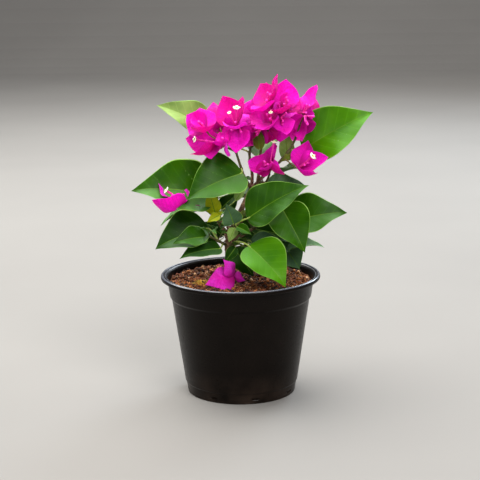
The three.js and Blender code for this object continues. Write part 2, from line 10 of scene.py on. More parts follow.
import bpy
import numpy as np
from mathutils import Matrix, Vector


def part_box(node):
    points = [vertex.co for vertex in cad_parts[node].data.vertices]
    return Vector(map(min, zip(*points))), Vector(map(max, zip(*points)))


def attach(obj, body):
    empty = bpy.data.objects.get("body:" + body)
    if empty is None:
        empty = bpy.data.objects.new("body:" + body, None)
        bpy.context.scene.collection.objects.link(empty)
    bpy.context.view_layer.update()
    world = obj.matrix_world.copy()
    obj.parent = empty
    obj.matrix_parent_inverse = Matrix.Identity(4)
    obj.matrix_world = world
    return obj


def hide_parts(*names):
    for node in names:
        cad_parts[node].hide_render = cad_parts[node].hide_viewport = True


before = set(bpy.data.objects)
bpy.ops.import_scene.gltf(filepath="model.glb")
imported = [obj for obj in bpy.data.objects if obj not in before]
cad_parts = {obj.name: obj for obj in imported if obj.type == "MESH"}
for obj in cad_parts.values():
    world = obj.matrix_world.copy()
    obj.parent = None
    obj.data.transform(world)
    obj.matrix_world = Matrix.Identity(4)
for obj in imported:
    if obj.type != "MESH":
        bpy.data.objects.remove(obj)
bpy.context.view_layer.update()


# Pot
# A thin-walled nursery pot of near-black moulded plastic, one skin turned round its axis: stepped foot with
# drain slots, straight cone, collar and flat lip. It stands on its flat underside.

MM = 0.001
_, pot_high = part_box("pot")
POT_HEIGHT, RIM_RADIUS, BASE_RADIUS = pot_high.z, pot_high.x, 51.6 * MM
WALL, FLOOR = 1.3 * MM, 2 * MM
LIP_HEIGHT, LIP_WIDTH, UNDER_LIP = 4 * MM, 4.8 * MM, 1.15 * MM
LIP_CORNERS = [(0.4, 4), (0, 3.2), (0, 1.2), (1.2, 0), (2.4, 0.1), (2.688, 1.2), (3.744, 1.3), (4.032, 0.6),
               (4.8, 0.8)]  # in from the rim and down from the top, in millimetres
COLLAR, COLLAR_STEP = POT_HEIGHT - 22 * MM, 1.3 * MM
FOOT_HEIGHT, FOOT_STEP = 10 * MM, 0.8 * MM
SLOTS, SLOT_WIDTH, SLOT_HEIGHT, SLOT_LEVEL, SLOT_TURN = 8, 6 * MM, 2 * MM, 3.4 * MM, 0.32
POT_SIDES = 288


def new_object(name, data):
    """An object, linked into the scene."""
    made = bpy.data.objects.new(name, data)
    bpy.context.scene.collection.objects.link(made)
    return made


def new_piece(name, points, faces, finishes, numbers=None, flat_map=None):
    """A mesh on the root body from points (n, 3) and faces (m, 4), where a corner named twice running makes
    a triangle. numbers picks each face's finish, and flat_map holds two coordinates for each point."""
    repeated = faces == np.roll(faces, 1, axis=1)
    corners = faces[~repeated].astype(np.int32)
    sizes = 4 - repeated.sum(axis=1)
    mesh = bpy.data.meshes.new(name)
    mesh.vertices.add(len(points))
    mesh.vertices.foreach_set("co", np.asarray(points, np.float32).ravel())
    mesh.loops.add(len(corners))
    mesh.loops.foreach_set("vertex_index", corners)
    mesh.polygons.add(len(faces))
    mesh.polygons.foreach_set("loop_start", (np.cumsum(sizes) - sizes).astype(np.int32))
    for finish in finishes:
        mesh.materials.append(finish)
    if numbers is not None:
        mesh.polygons.foreach_set("material_index", np.asarray(numbers, np.int32))
    if flat_map is not None:
        layer = mesh.uv_layers.new(name="surface")
        layer.data.foreach_set("uv", np.asarray(flat_map, np.float32)[corners].ravel())
    mesh.polygons.foreach_set("use_smooth", np.ones(len(faces), bool))
    mesh.update(calc_edges=True)
    mesh.validate()
    piece = new_object(name, mesh)
    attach(piece, "root")
    return piece


def around(sides):
    """Equal angles round a circle."""
    return 2 * np.pi * np.arange(sides) / sides


def repeated_faces(faces, count, points_each):
    """The same faces once for each of count copies that follow each other in the list of points."""
    return (faces[None] + points_each * np.arange(count)[:, None, None]).reshape(-1, 4)


def skin_faces(rings, sides):
    """Faces of a skin over rings of points: point 0, the rings in turn, the last point."""
    k = np.arange(sides)
    after = (k + 1) % sides
    start = 1 + sides * np.arange(rings - 1)[:, None]
    walls = np.stack([start + k, start + after, start + sides + after, start + sides + k], axis=-1)
    last = 1 + sides * rings
    first_cap = np.stack([0 * k, 1 + after, 1 + k, 1 + k], axis=-1)
    last_cap = np.stack([0 * k + last, last - sides + k, last - sides + after, last - sides + after], axis=-1)
    return np.vstack([walls.reshape(-1, 4), first_cap, last_cap])


def strung(first, rings, last):
    """Rows of numbers for closed skins, one skin after the other: its first, its rings', its last."""
    count, n = len(rings), rings.shape[-1]
    return np.concatenate([first[:, None], rings.reshape(count, -1, n), last[:, None]], axis=1).reshape(-1, n)


def closed_skins(first, rings, last):
    """Points and faces of skins over rings of points (count, steps, sides, 3), closed by end points."""
    count, steps, sides = rings.shape[:3]
    return strung(first, rings, last), repeated_faces(skin_faces(steps, sides), count, steps * sides + 2)


def shares(steps):
    """Even shares from 0 to 1 along each path."""
    return np.linspace(0, 1, steps)[None, :, None]


def rounded(corners, radius, steps=4):
    """A profile whose corners are cut by parabolas: each starts and ends at the radius from the corner, or
    less where its neighbour is near, and has the corner as its control point."""
    here = corners[1:-1]
    start, end = (here + way * np.minimum(radius / np.linalg.norm(way, axis=1, keepdims=True), 0.45)
                  for way in (corners[:-2] - here, corners[2:] - here))
    t = shares(steps)
    arcs = (1 - t) ** 2 * start[:, None] + 2 * t * (1 - t) * here[:, None] + t**2 * end[:, None]
    return np.vstack([corners[:1], arcs.reshape(-1, 2), corners[-1:]])


def wall_radius(z):
    """Outer radius of the pot's wall at a height: a straight cone, with steps at foot and collar."""
    spread = RIM_RADIUS - LIP_WIDTH - UNDER_LIP - COLLAR_STEP - FOOT_STEP - BASE_RADIUS
    cone = BASE_RADIUS + spread * z / (POT_HEIGHT - LIP_HEIGHT)
    return cone + (z > FOOT_HEIGHT) * FOOT_STEP + (z > COLLAR) * COLLAR_STEP


def pot_profile():
    """Radius and height of each corner, from under the pot up its outside, over the lip and down inside."""
    under, ledge = POT_HEIGHT - LIP_HEIGHT, 1 * MM
    outer = np.array([0.7 * FOOT_HEIGHT, FOOT_HEIGHT, FOOT_HEIGHT + ledge, 0.3 * COLLAR, 0.6 * COLLAR,
                      COLLAR - ledge, COLLAR + ledge, under])
    inner = np.array([COLLAR + ledge, COLLAR - ledge, FOOT_HEIGHT + ledge])
    corners = [
        (0.6 * BASE_RADIUS, 0.4 * MM), (0.64 * BASE_RADIUS, 0), (BASE_RADIUS, 0),
        (BASE_RADIUS + 0.1 * MM, 2.6 * MM), *zip(wall_radius(outer), outer),
        *[(RIM_RADIUS - inset * MM, POT_HEIGHT - drop * MM) for inset, drop in LIP_CORNERS],
        (wall_radius(under) - 0.4 * WALL, POT_HEIGHT - 2.6 * MM), (wall_radius(under) - WALL, under - 1 * MM),
        *zip(wall_radius(inner) - WALL, inner), (BASE_RADIUS - WALL, FLOOR), (0.6 * BASE_RADIUS, FLOOR),
    ]
    return rounded(np.array(corners), 0.7 * MM)


def pot_skin():
    """The profile turned round the axis. Within a slot's width and height the outer wall is pushed in past
    its own thickness, and the cone waves by a few hundredths of a millimetre, as thin plastic does."""
    profile = pot_profile()
    slot_rows = SLOT_LEVEL + np.array([-0.06, 0.06, 0.94, 1.06]) * SLOT_HEIGHT
    first = np.argmax(profile[:, 1] > slot_rows[0])
    rest = profile[first:]
    inside_floor = np.arange(len(rest)) >= len(rest) - 5
    rest = rest[(rest[:, 1] > slot_rows[-1]) | inside_floor]
    profile = np.vstack([profile[:first], np.stack([wall_radius(slot_rows), slot_rows], axis=1), rest])
    turn = around(POT_SIDES)
    radius, height = profile[:, :1] + 0 * turn, profile[:, 1:] + 0 * turn
    step = 2 * np.pi / SLOTS
    across = np.abs((turn - SLOT_TURN * step + step / 2) % step - step / 2) * BASE_RADIUS
    in_slot = (across < SLOT_WIDTH / 2) & (np.abs(height - SLOT_LEVEL - SLOT_HEIGHT / 2) < SLOT_HEIGHT / 2)
    outer = np.arange(len(profile))[:, None] < len(profile) // 2
    radius = radius - 1.6 * WALL * (in_slot & outer)
    radius = radius + 0.05 * MM * np.sin(5 * turn + 40 * height) * np.sin(60 * height)
    ring = np.stack([radius * np.cos(turn), radius * np.sin(turn), height], axis=-1)
    return closed_skins(np.array([[0, 0, profile[0, 1]]]), ring[None], np.array([[0, 0, FLOOR]]))


def node(tree, kind, sockets, **settings):
    """The outputs of a new shader node, with its settings and inputs: values or other nodes' outputs."""
    made = tree.nodes.new("ShaderNode" + kind)
    for key, value in settings.items():
        setattr(made, key, value)
    for key, value in sockets.items():
        if isinstance(value, bpy.types.NodeSocket):
            tree.links.new(value, made.inputs[key])
        else:
            made.inputs[key].default_value = value
    return made.outputs


def calc(tree, operation, *values):
    """The result of a Math node."""
    return node(tree, "Math", dict(enumerate(values)), operation=operation)[0]


def mapped(tree, value, start, end, low=0.0, high=1.0, smooth=False):
    """A value carried from the span start to end to the span low to high, and held within it."""
    sockets = {"Value": value, "From Min": start, "From Max": end, "To Min": low, "To Max": high}
    return node(tree, "MapRange", sockets, interpolation_type="SMOOTHSTEP" if smooth else "LINEAR")[0]


def mixed(tree, share, base, colour):
    """A base with a share of a plain colour mixed in."""
    return node(tree, "MixRGB", {"Fac": share, "Color1": base, "Color2": (*colour, 1)})[0]


def ramp(tree, factor, stops):
    """A colour ramp with a stop for each (position, colour)."""
    made = tree.nodes.new("ShaderNodeValToRGB")
    tree.links.new(factor, made.inputs["Fac"])
    band = made.color_ramp.elements
    while len(band) < len(stops):
        band.new(0.5)
    for stop, (position, colour) in zip(band, stops):
        stop.position, stop.color = position, (*colour, 1)
    return made.outputs["Color"]


def bumped(tree, height, strength, distance, invert=False):
    """Normals of a height, which lies below the surface where it is inverted."""
    sockets = {"Height": height, "Strength": strength, "Distance": distance}
    return node(tree, "Bump", sockets, invert=invert)[0]


def part_of(tree, place, axis):
    """One coordinate of a place."""
    return node(tree, "SeparateXYZ", {0: place})[axis]


def new_group(name, inputs, outputs):
    """An empty node group with float inputs and their usual values, and its in and out nodes."""
    tree = bpy.data.node_groups.new(name, "ShaderNodeTree")
    for label, value in inputs.items():
        tree.interface.new_socket(label, in_out="INPUT", socket_type="NodeSocketFloat").default_value = value
    for label in outputs:
        tree.interface.new_socket(label, in_out="OUTPUT", socket_type="NodeSocketFloat")
    return tree, tree.nodes.new("NodeGroupInput").outputs, tree.nodes.new("NodeGroupOutput").inputs


def mottle_group():
    """Uneven patches: fractal noise over the object's own coordinates, stretched to span 0 to 1."""
    tree, given, result = new_group("mottle", {"Scale": 100, "Detail": 3}, ["Patches"])
    place = node(tree, "TexCoord", {})["Object"]
    noise = node(tree, "TexNoise", {"Vector": place, "Scale": given["Scale"], "Detail": given["Detail"],
                                    "Roughness": 0.55})
    tree.links.new(mapped(tree, noise[0], 0.3, 0.7), result["Patches"])
    return tree


MOTTLE = mottle_group()


def patches(tree, scale, detail):
    """The mottle group in a material."""
    return node(tree, "Group", {"Scale": scale, "Detail": detail}, node_tree=MOTTLE)["Patches"]


def new_finish(name, **plain):
    """A material with one Principled shader, and that shader's plain values set."""
    finish = bpy.data.materials.new(name)
    finish.use_nodes = True
    for key, value in plain.items():
        finish.node_tree.nodes["Principled BSDF"].inputs[key.replace("_", " ")].default_value = value
    return finish, finish.node_tree


def wired(finish, **outputs):
    """A finish with outputs linked to the sockets of its Principled shader."""
    for key, output in outputs.items():
        socket = finish.node_tree.nodes["Principled BSDF"].inputs[key.replace("_", " ")]
        finish.node_tree.links.new(output, socket)
    return finish


def pot_finish():
    """Near-black satin plastic: faint brown patches low on the wall, fine scuffs in its roughness,
    orange-peel bump. The lip's bead has more shine, and its pale bluish colour is a painted reflection of the
    sky."""
    finish, tree = new_finish("pot_plastic", Specular_IOR_Level=0.1, Coat_Roughness=0.22)
    shades, scuffs = patches(tree, 38, 5), patches(tree, 420, 4)
    height = part_of(tree, node(tree, "TexCoord", {})["Object"], "Z")
    # Brown patches low on the wall, stronger towards the foot.
    low_brown_patches = calc(tree, "MULTIPLY", mapped(tree, height, 0.03, 0.0, 0, 0.5), shades)
    black = ramp(tree, shades, [(0, (0.0028, 0.0017, 0.0011)), (1, (0.0048, 0.003, 0.0021))])
    browned_black = mixed(tree, low_brown_patches, black, (0.05, 0.033, 0.024))
    # The lip's bead takes more coat, and its pale bluish colour is a painted reflection of the sky.
    lip_gloss_and_painted_sheen = mapped(tree, height, POT_HEIGHT - 1.1 * MM, POT_HEIGHT - 0.5 * MM)
    return wired(finish, Base_Color=mixed(tree, lip_gloss_and_painted_sheen, browned_black, (0.06, 0.067, 0.088)), Coat_Weight=lip_gloss_and_painted_sheen,
                 Roughness=mapped(tree, scuffs, 0, 1, 0.26, 0.4), Normal=bumped(tree, scuffs, 0.12, 0.0002))


pot = new_piece("nursery_pot", *pot_skin(), [pot_finish()])
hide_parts("pot")


# Potting mix
# Moist coir and bark crumbs that fill the pot to just under its rim: a lumpy bed, loose crumbs and coir
# threads lying on it, and a tuft of moss near the left side.

MIX_LEVEL, MIX_SIDES, MIX_REACH = 108 * MM, 180, 65 * MM
TRUNK_FOOT, TRUNK_CLEAR = np.array([-9, 3]) * MM, 9 * MM
MOSS = np.array([-34, -15]) * MM
CRUMBS, THREADS, MOSS_BLADES = 5200, 620, 340
rng = np.random.default_rng(11)


def uneven(x, y, waves, longest, seed):
    """Uneven height of unit size: plane waves in random directions, each 0.82 times the last one's size."""
    draw = np.random.default_rng(seed)
    shrink = 0.82 ** np.arange(waves)
    heading, phase = draw.uniform(0, 2 * np.pi, (2, waves))
    along = x[..., None] * np.cos(heading) + y[..., None] * np.sin(heading)
    return (shrink * np.sin(2 * np.pi * along / (longest * shrink) + phase)).sum(axis=-1) / np.sqrt(waves)


def mix_height(x, y):
    """Height of the bed: broad crossed waves, and finer crumbs that fade out at the pot's wall."""
    u, v = x / MM, y / MM
    far = np.clip((np.hypot(x - TRUNK_FOOT[0], y - TRUNK_FOOT[1]) / MM - 17) / 12, 0, 1)
    broad = 1.6 * far * (np.sin(0.23 * u + 0.9) * np.cos(0.19 * v) + 0.5 * np.sin(0.47 * (u + v)) - 0.4)
    edge = np.clip((MIX_REACH / MM + 1.5 - np.hypot(u, v)) / 5, 0, 1)
    return MIX_LEVEL + (broad + 0.75 * edge * uneven(u, v, 26, 14, 3) - 0.3) * MM


def mix_skin():
    """The bed as a closed skin: flat bottom, cone up the wall, then rings inward over the lumpy top."""
    turn = around(MIX_SIDES)
    bottom, shoulder, bend = FLOOR + 0.3 * MM, MIX_LEVEL - 2 * MM, COLLAR - 1 * MM
    inner = wall_radius(shoulder) - WALL - 0.15 * MM
    wall = np.array([(BASE_RADIUS - WALL - 0.6 * MM, bottom), (wall_radius(bend) - WALL - 0.5 * MM, bend),
                     (inner, shoulder)])
    top = inner * (1 - 0.006 - 0.99 * np.linspace(0, 1, 90) ** 0.9)
    radius = np.concatenate([wall[:, 0], top])[:, None]
    x, y = radius * np.cos(turn), radius * np.sin(turn)
    z = mix_height(x, y)
    z[:len(wall)] = wall[:, 1:]
    ring = np.stack([x, y, z], axis=-1)
    return closed_skins(np.array([[0, 0, bottom]]), ring[None], np.array([[0, 0, MIX_LEVEL]]))


def dull_finish(name, stops, scale, detail=3, roughness=0.85, gloss=0.3, grain=None, relief=(0.35, 0.0003)):
    """A dull natural surface: patches of near shades, and a bump of finer grain or of the same patches."""
    finish, tree = new_finish(name, Roughness=roughness, Specular_IOR_Level=gloss)
    shades = patches(tree, scale, detail)
    fine = patches(tree, *grain) if grain else shades
    return wired(finish, Base_Color=ramp(tree, shades, stops), Normal=bumped(tree, fine, *relief))


def grainy(name, deep, light, scale=700, roughness=0.85):
    """A dull finish of two near shades."""
    return dull_finish(name, [(0.1, deep), (0.9, light)], scale, roughness=roughness)


def grainy_piece(name, skins, *finishes):
    """A piece from its points, faces and finish numbers, with a grainy finish for each row."""
    points, faces, numbers = skins
    return new_piece(name, points, faces, [grainy(*row) for row in finishes], numbers)


def unit(v):
    """Vectors scaled to length one."""
    return v / np.linalg.norm(v, axis=-1, keepdims=True)


def on_the_mix(count):
    """Even random places on the bed inside the pot's wall, clear of the trunk."""
    radius = MIX_REACH * np.sqrt(rng.uniform(0.001, 1, count))
    turn = rng.uniform(0, 2 * np.pi, count)
    x, y = radius * np.cos(turn), radius * np.sin(turn)
    keep = np.hypot(x - TRUNK_FOOT[0], y - TRUNK_FOOT[1]) > TRUNK_CLEAR
    return x[keep], y[keep]


def crumbs():
    """Loose chips: boxes whose eight corners are moved at random, turned any way and sunk in the bed."""
    x, y = on_the_mix(CRUMBS)
    n = len(x)
    size = rng.lognormal(np.log(0.95), 0.42, (n, 1))
    half = size * rng.uniform([0.7, 0.4, 0.25], [1.7, 0.9, 0.6], (n, 3)) * MM
    half = np.minimum(half, [3.2 * MM, 1.8 * MM, 0.9 * MM])
    corner = np.array([[i, j, k] for i in (-1, 1) for j in (-1, 1) for k in (-1, 1)], float)
    box = corner * half[:, None] * rng.uniform(0.55, 1.15, (n, 8, 3))
    yaw, tilt, roll = rng.uniform(0, 2 * np.pi, n), rng.normal(0, 0.5, n), rng.normal(0, 0.5, n)
    lean = np.stack([np.cos(yaw) * np.cos(tilt), np.sin(yaw) * np.cos(tilt), np.sin(tilt)], axis=-1)
    side = unit(np.stack([-np.sin(yaw), np.cos(yaw), np.tan(roll)], axis=-1))
    up = unit(np.cross(lean, side))
    axes = np.stack([lean, np.cross(up, lean), up], axis=1)
    centre = np.stack([x, y, mix_height(x, y) + 0.35 * half[:, 2] + 0.2 * MM], axis=-1)
    faces = np.array([[0, 1, 3, 2], [4, 6, 7, 5], [0, 4, 5, 1], [2, 3, 7, 6], [0, 2, 6, 4], [1, 5, 7, 3]])
    tint = rng.choice(4, n, p=[0.34, 0.38, 0.22, 0.06])
    return (centre[:, None] + box @ axes).reshape(-1, 3), repeated_faces(faces, n, 8), np.repeat(tint, 6)


def hoops(centres, radii, side, other):
    """Rings of points round centres: radius times cosine one way, and times sine the other way."""
    turn = around(radii.shape[-1])
    return centres + (radii * np.cos(turn))[..., None] * side + (radii * np.sin(turn))[..., None] * other


def tubes(paths, radii):
    """Round skins along paths (n, m, 3) with radii (n, m, sides): each ring stands square to its path, its
    first direction square to the world axis that the path follows least."""
    along = unit(np.gradient(paths, axis=1))
    least = np.argmin(np.abs(paths[:, -1] - paths[:, 0]), axis=1)
    side = unit(np.cross(along, np.eye(3)[least][:, None]))
    ring = hoops(paths[:, :, None], radii, side[:, :, None], np.cross(along, side)[:, :, None])
    return closed_skins(paths[:, 0], ring, paths[:, -1])


def threads():
    """Coir threads: thin tubes that wander over the bed, their heading a slow random walk."""
    x, y = on_the_mix(THREADS)
    n, steps = len(x), 8
    heading = rng.uniform(0, 2 * np.pi, (n, 1)) + np.cumsum(rng.normal(0, 0.45, (n, steps)), axis=1)
    stride = rng.uniform(0.5, 1.3, (n, 1)) * MM
    x = x[:, None] + np.cumsum(stride * np.cos(heading), axis=1)
    y = y[:, None] + np.cumsum(stride * np.sin(heading), axis=1)
    inside = np.minimum(1, (MIX_REACH + 0.5 * MM) / np.hypot(x, y))
    x, y = x * inside, y * inside
    lift = rng.uniform(0.2, 1.6, (n, 1)) * np.sin(np.linspace(0.2, 2.9, steps)) * MM
    thickness = rng.uniform(0.09, 0.2, (n, 1, 1)) * MM * np.ones((n, steps, 3))
    points, faces = tubes(np.stack([x, y, mix_height(x, y) + lift], axis=-1), thickness)
    return points, faces, np.repeat(rng.choice(2, n, p=[0.55, 0.45]), len(faces) // n)


def moss_tuft():
    """Moss: short tapering blades that lean out from the tuft's middle."""
    spread = rng.normal(0, 3.4, (MOSS_BLADES, 2)) * [1.1, 1.3] * MM
    foot = MOSS + spread
    lean = spread * 0.35 + rng.normal(0, 0.6, (MOSS_BLADES, 2)) * MM
    tall = rng.uniform(1.2, 3.4, MOSS_BLADES) * MM
    t = shares(4)
    base = np.concatenate([foot, mix_height(*foot.T)[:, None] - 0.4 * MM], axis=1)
    rise = np.concatenate([lean, tall[:, None]], axis=1)
    path = base[:, None] + rise[:, None] * t + np.array([0, 0, 0.3 * MM]) * np.sin(np.pi * t)
    radius = (0.42 * (1 - t) + 0.06) * MM * rng.uniform(0.7, 1.2, (MOSS_BLADES, 1, 1)) * np.ones(3)
    points, faces = tubes(path, radius)
    return points, faces, np.repeat(rng.choice(2, MOSS_BLADES), len(faces) // MOSS_BLADES)


MIX_SHADES = [(0.1, (0.012, 0.005, 0.003)), (0.45, (0.075, 0.022, 0.009)), (0.9, (0.2, 0.07, 0.026))]
bed = new_piece("mix_bed", *mix_skin(), [
    dull_finish("mix", MIX_SHADES, 260, 6, 0.95, 0.25, grain=(1500, 4), relief=(0.7, 0.0006))])
loose = grainy_piece(
    "mix_crumbs", crumbs(),
    ("crumb_dark", (0.012, 0.006, 0.004), (0.04, 0.015, 0.008)),
    ("crumb_red", (0.08, 0.018, 0.005), (0.21, 0.055, 0.013)),
    ("crumb_brown", (0.2, 0.058, 0.013), (0.42, 0.15, 0.036)),
    ("crumb_tan", (0.36, 0.18, 0.08), (0.56, 0.33, 0.17)))
coir = grainy_piece(
    "mix_threads", threads(),
    ("thread_brown", (0.12, 0.045, 0.018), (0.26, 0.1, 0.04)),
    ("thread_tan", (0.4, 0.22, 0.1), (0.62, 0.4, 0.2)))
moss = grainy_piece(
    "mix_moss", moss_tuft(),
    ("moss_green", (0.3, 0.19, 0.02), (0.5, 0.34, 0.045)),
    ("moss_yellow", (0.55, 0.3, 0.03), (0.8, 0.5, 0.07)))
for piece in (bed, loose, coir, moss):
    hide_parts("potting_mix")


# Woody stems
# The short trunk and its boughs, grey-brown bark over wood: each is one tapering round skin with furrows
# along it, knots where shoots leave, and the dry stubs of old leaf stalks.

TRUNK_LINE, TRUNK_LENGTH = [(-9, 3, 107.4), (-10.5, 1, 124), (-10, -1, 143), (-8, -4, 160)], 53
BOUGHS = {  # the points of each line, and its radius at foot and tip
    "middle_bough": ([(-8, -4, 156), (1, -4, 176), (11, 0, 197)], (3, 2)),
    "left_low_bough": ([(-9, -3, 150), (-17, -7, 161), (-22, -12, 170)], (2.2, 1.5)),
    "right_low_bough": ([(-9, -2, 146), (2, -1, 152), (12, -3, 158)], (2.2, 1.5)),
    "back_left_bough": ([(-9, 0, 143), (-15, 12, 152), (-18, 24, 160)], (2.2, 1.5)),
    "back_right_bough": ([(-8, -2, 153), (2, 9, 164), (10, 21, 172)], (2.2, 1.5)),
    "left_high_bough": ([(11, 0, 196), (6, -2, 205), (3, -4, 212)], (1.7, 1.3)),
    "right_high_bough": ([(11, 0, 196), (24, 2, 209), (38, 3, 221)], (1.8, 1.3)),
    "back_high_bough": ([(11, 0, 196), (12, 10, 207), (10, 19, 218)], (1.7, 1.3)),
    "top_bough": ([(17, 1, 202), (19, 1, 218), (20, -2, 231)], (1.6, 1.2)),
}
BARK_SIDES, STUBS = 40, 24


def curve(through, at):
    """A centripetal Catmull-Rom curve through points, read at shares of its length: each span is a cubic
    whose end slopes weigh the neighbouring points by the square roots of their distances."""
    p = np.array(through, float)
    p = np.vstack([2 * p[0] - p[1], p, 2 * p[-1] - p[-2]])
    gap = np.sqrt(np.linalg.norm(np.diff(p, axis=0), axis=1))[:, None]
    d0, d1, d2 = gap[:-2], gap[1:-1], gap[2:]
    x0, x1, x2, x3 = p[:-3], p[1:-2], p[2:-1], p[3:]
    slope1 = ((x1 - x0) / d0 - (x2 - x0) / (d0 + d1) + (x2 - x1) / d1) * d1
    slope2 = ((x2 - x1) / d1 - (x3 - x1) / (d1 + d2) + (x3 - x2) / d2) * d1
    s = np.linspace(0, 1, 60, endpoint=False)[:, None, None]
    span = (x1 + slope1 * s + (3 * (x2 - x1) - 2 * slope1 - slope2) * s**2
            + (2 * (x1 - x2) + slope1 + slope2) * s**3)
    line = np.vstack([span.transpose(1, 0, 2).reshape(-1, 3), p[-2:-1]])
    length = np.concatenate([[0], np.cumsum(np.linalg.norm(np.diff(line, axis=0), axis=1))])
    return np.stack([np.interp(np.asarray(at) * length[-1], length, line[:, i]) for i in range(3)], axis=-1)


def bark(radius, length, seed):
    """A limb's radii round its bark: furrows that wander along it, rings at leaf scars, fine grain."""
    turn = around(BARK_SIDES)
    far = np.linspace(0, length, len(radius))[:, None]
    wander = 0.5 * np.sin(far / 5 + seed)
    furrow = -np.abs(np.sin(3.5 * turn + wander + 0.8 * np.sin(2 * turn + far / 4 + seed)))
    ring = np.exp(-(((far + 3 * seed) % 9.5 - 4.7) / 0.8) ** 2)
    grain = uneven(radius[:, None] * turn * 2 + 7 * seed, far + 0 * turn, 16, 5, 5 + seed)
    return radius[:, None] * (1 + 0.09 * furrow + 0.1 * ring + 0.05 * grain)


def limb(through, radii):
    """The skin of one limb."""
    return tubes(curve(through, np.linspace(0, 1, len(radii)))[None] * MM, radii[None] * MM)


def trunk():
    """The trunk: its flare has four root lobes and falls off fast, and two knots swell at the shoots."""
    t = np.linspace(0, 1, 150)
    knots = 0.9 * np.exp(-(((t - 0.66) / 0.07) ** 2)) + 0.7 * np.exp(-(((t - 0.96) / 0.07) ** 2))
    radius = 5 - 1.4 * t + 3.5 * np.exp(-9 * t) + knots
    lobes = 1 + 0.12 * np.exp(-6 * t)[:, None] * np.cos(4 * around(BARK_SIDES))
    return limb(TRUNK_LINE, bark(radius, TRUNK_LENGTH, 1) * lobes)


def bough(seed, through, ends):
    """A bough, whose radius tapers evenly."""
    radius = ends[0] + (ends[1] - ends[0]) * np.linspace(0, 1, 80)
    return limb(through, bark(radius, np.linalg.norm(np.subtract(through[-1], through[0])), seed))


def stubs():
    """Dry stalk stubs: short tapering pegs round the trunk's knots, leaning up and out."""
    draw = np.random.default_rng(4)
    low = STUBS - STUBS // 3
    share = np.concatenate([draw.normal(0.66, 0.07, low), draw.normal(0.93, 0.04, STUBS - low)])
    heading = draw.uniform(-2.9, 0.4, STUBS)
    out = np.stack([np.cos(heading), np.sin(heading), draw.uniform(0.2, 1.1, STUBS)], axis=-1)
    start = curve(TRUNK_LINE, share) + out * 2.5
    reach = draw.uniform(3.5, 6.5, (STUBS, 1))
    t = shares(6)
    path = start[:, None] + (unit(out) * reach)[:, None] * t + np.array([0, 0, 0.8]) * t**2
    radius = (1.05 - 0.5 * t + 0.35 * np.sin(9 * t)) * draw.uniform(0.6, 1.0, (STUBS, 1, 1)) * np.ones(8)
    return tubes(path * MM, radius * MM)


def together(skins):
    """Several lists of points and faces as one."""
    points, faces = zip(*skins)
    starts = np.cumsum([0] + [len(one) for one in points])
    return np.vstack(points), np.vstack([one + start for one, start in zip(faces, starts)])


BARK_BROWNS = [(0, (0.055, 0.026, 0.014)), (0.5, (0.16, 0.088, 0.048)), (1, (0.34, 0.22, 0.13))]
limbs = [trunk(), *[bough(seed, *row) for seed, row in enumerate(BOUGHS.values(), start=2)], stubs()]
wood = new_piece("woody_stems", *together(limbs), [
    dull_finish("bark", BARK_BROWNS, 300, 5, 0.82, grain=(1300, 4), relief=(0.6, 0.0004))])
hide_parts("trunk", *BOUGHS)


# Green shoots
# Each mass grows from a bough's tip or the trunk as one green shoot; leaf stalks and flower stalks arch off
# it. The rows give what the front shows, and a rule of golden-angle steps grows the rest.

GOLDEN, GOLDEN_SHARE = 137.5, 0.382
RULE_TRIES, RULE_LEAVES, RULE_LENGTH, RULE_STALK, RULE_TILT = 220, 11, 54, 13, 38
BLADE_GAP, SPROUT_GAP, MIX_GAP, SAMPLE_FOLD = 4, 2.2, 6, 18

# Share along the shoot, foot of the blade, where it points, its size, how far its face tilts forward, the
# place of its colour in the list of greens, and how far its face turns to the right.
Leaf = namedtuple("Leaf", "at foot heading rise length width tilt tint turn", defaults=(1, 0))

# Three bracts round a heart: share along the shoot, heart, length, a way for each bract, a way for each
# floret that shows, and the heading and rise that the blossom faces. A bract's way is its heading and rise,
# and may go on with its share of the length, its turn about its own midrib, and how many times the usual
# bow it has. A floret's way is its heading and rise, length and mouth radius.
Triplet = namedtuple("Triplet", "at heart length ways florets face", defaults=((), None))

# The heading of the rule's first leaf, and the middle and radii of the space that its leaves may fill.
Rule = namedtuple("Rule", "first centre radii")
Shoot = namedtuple("Shoot", "stem leaves blossom rule")


def sprig(stem, leaves=(), blossom=(), rule=None):
    """A shoot from the points of its stem and the rows of its leaves and triplets."""
    return Shoot(stem, [Leaf(*row) for row in leaves], [Triplet(*row) for row in blossom], rule)


def tip_of(bough):
    """The end of a bough."""
    return BOUGHS[bough][0][-1]


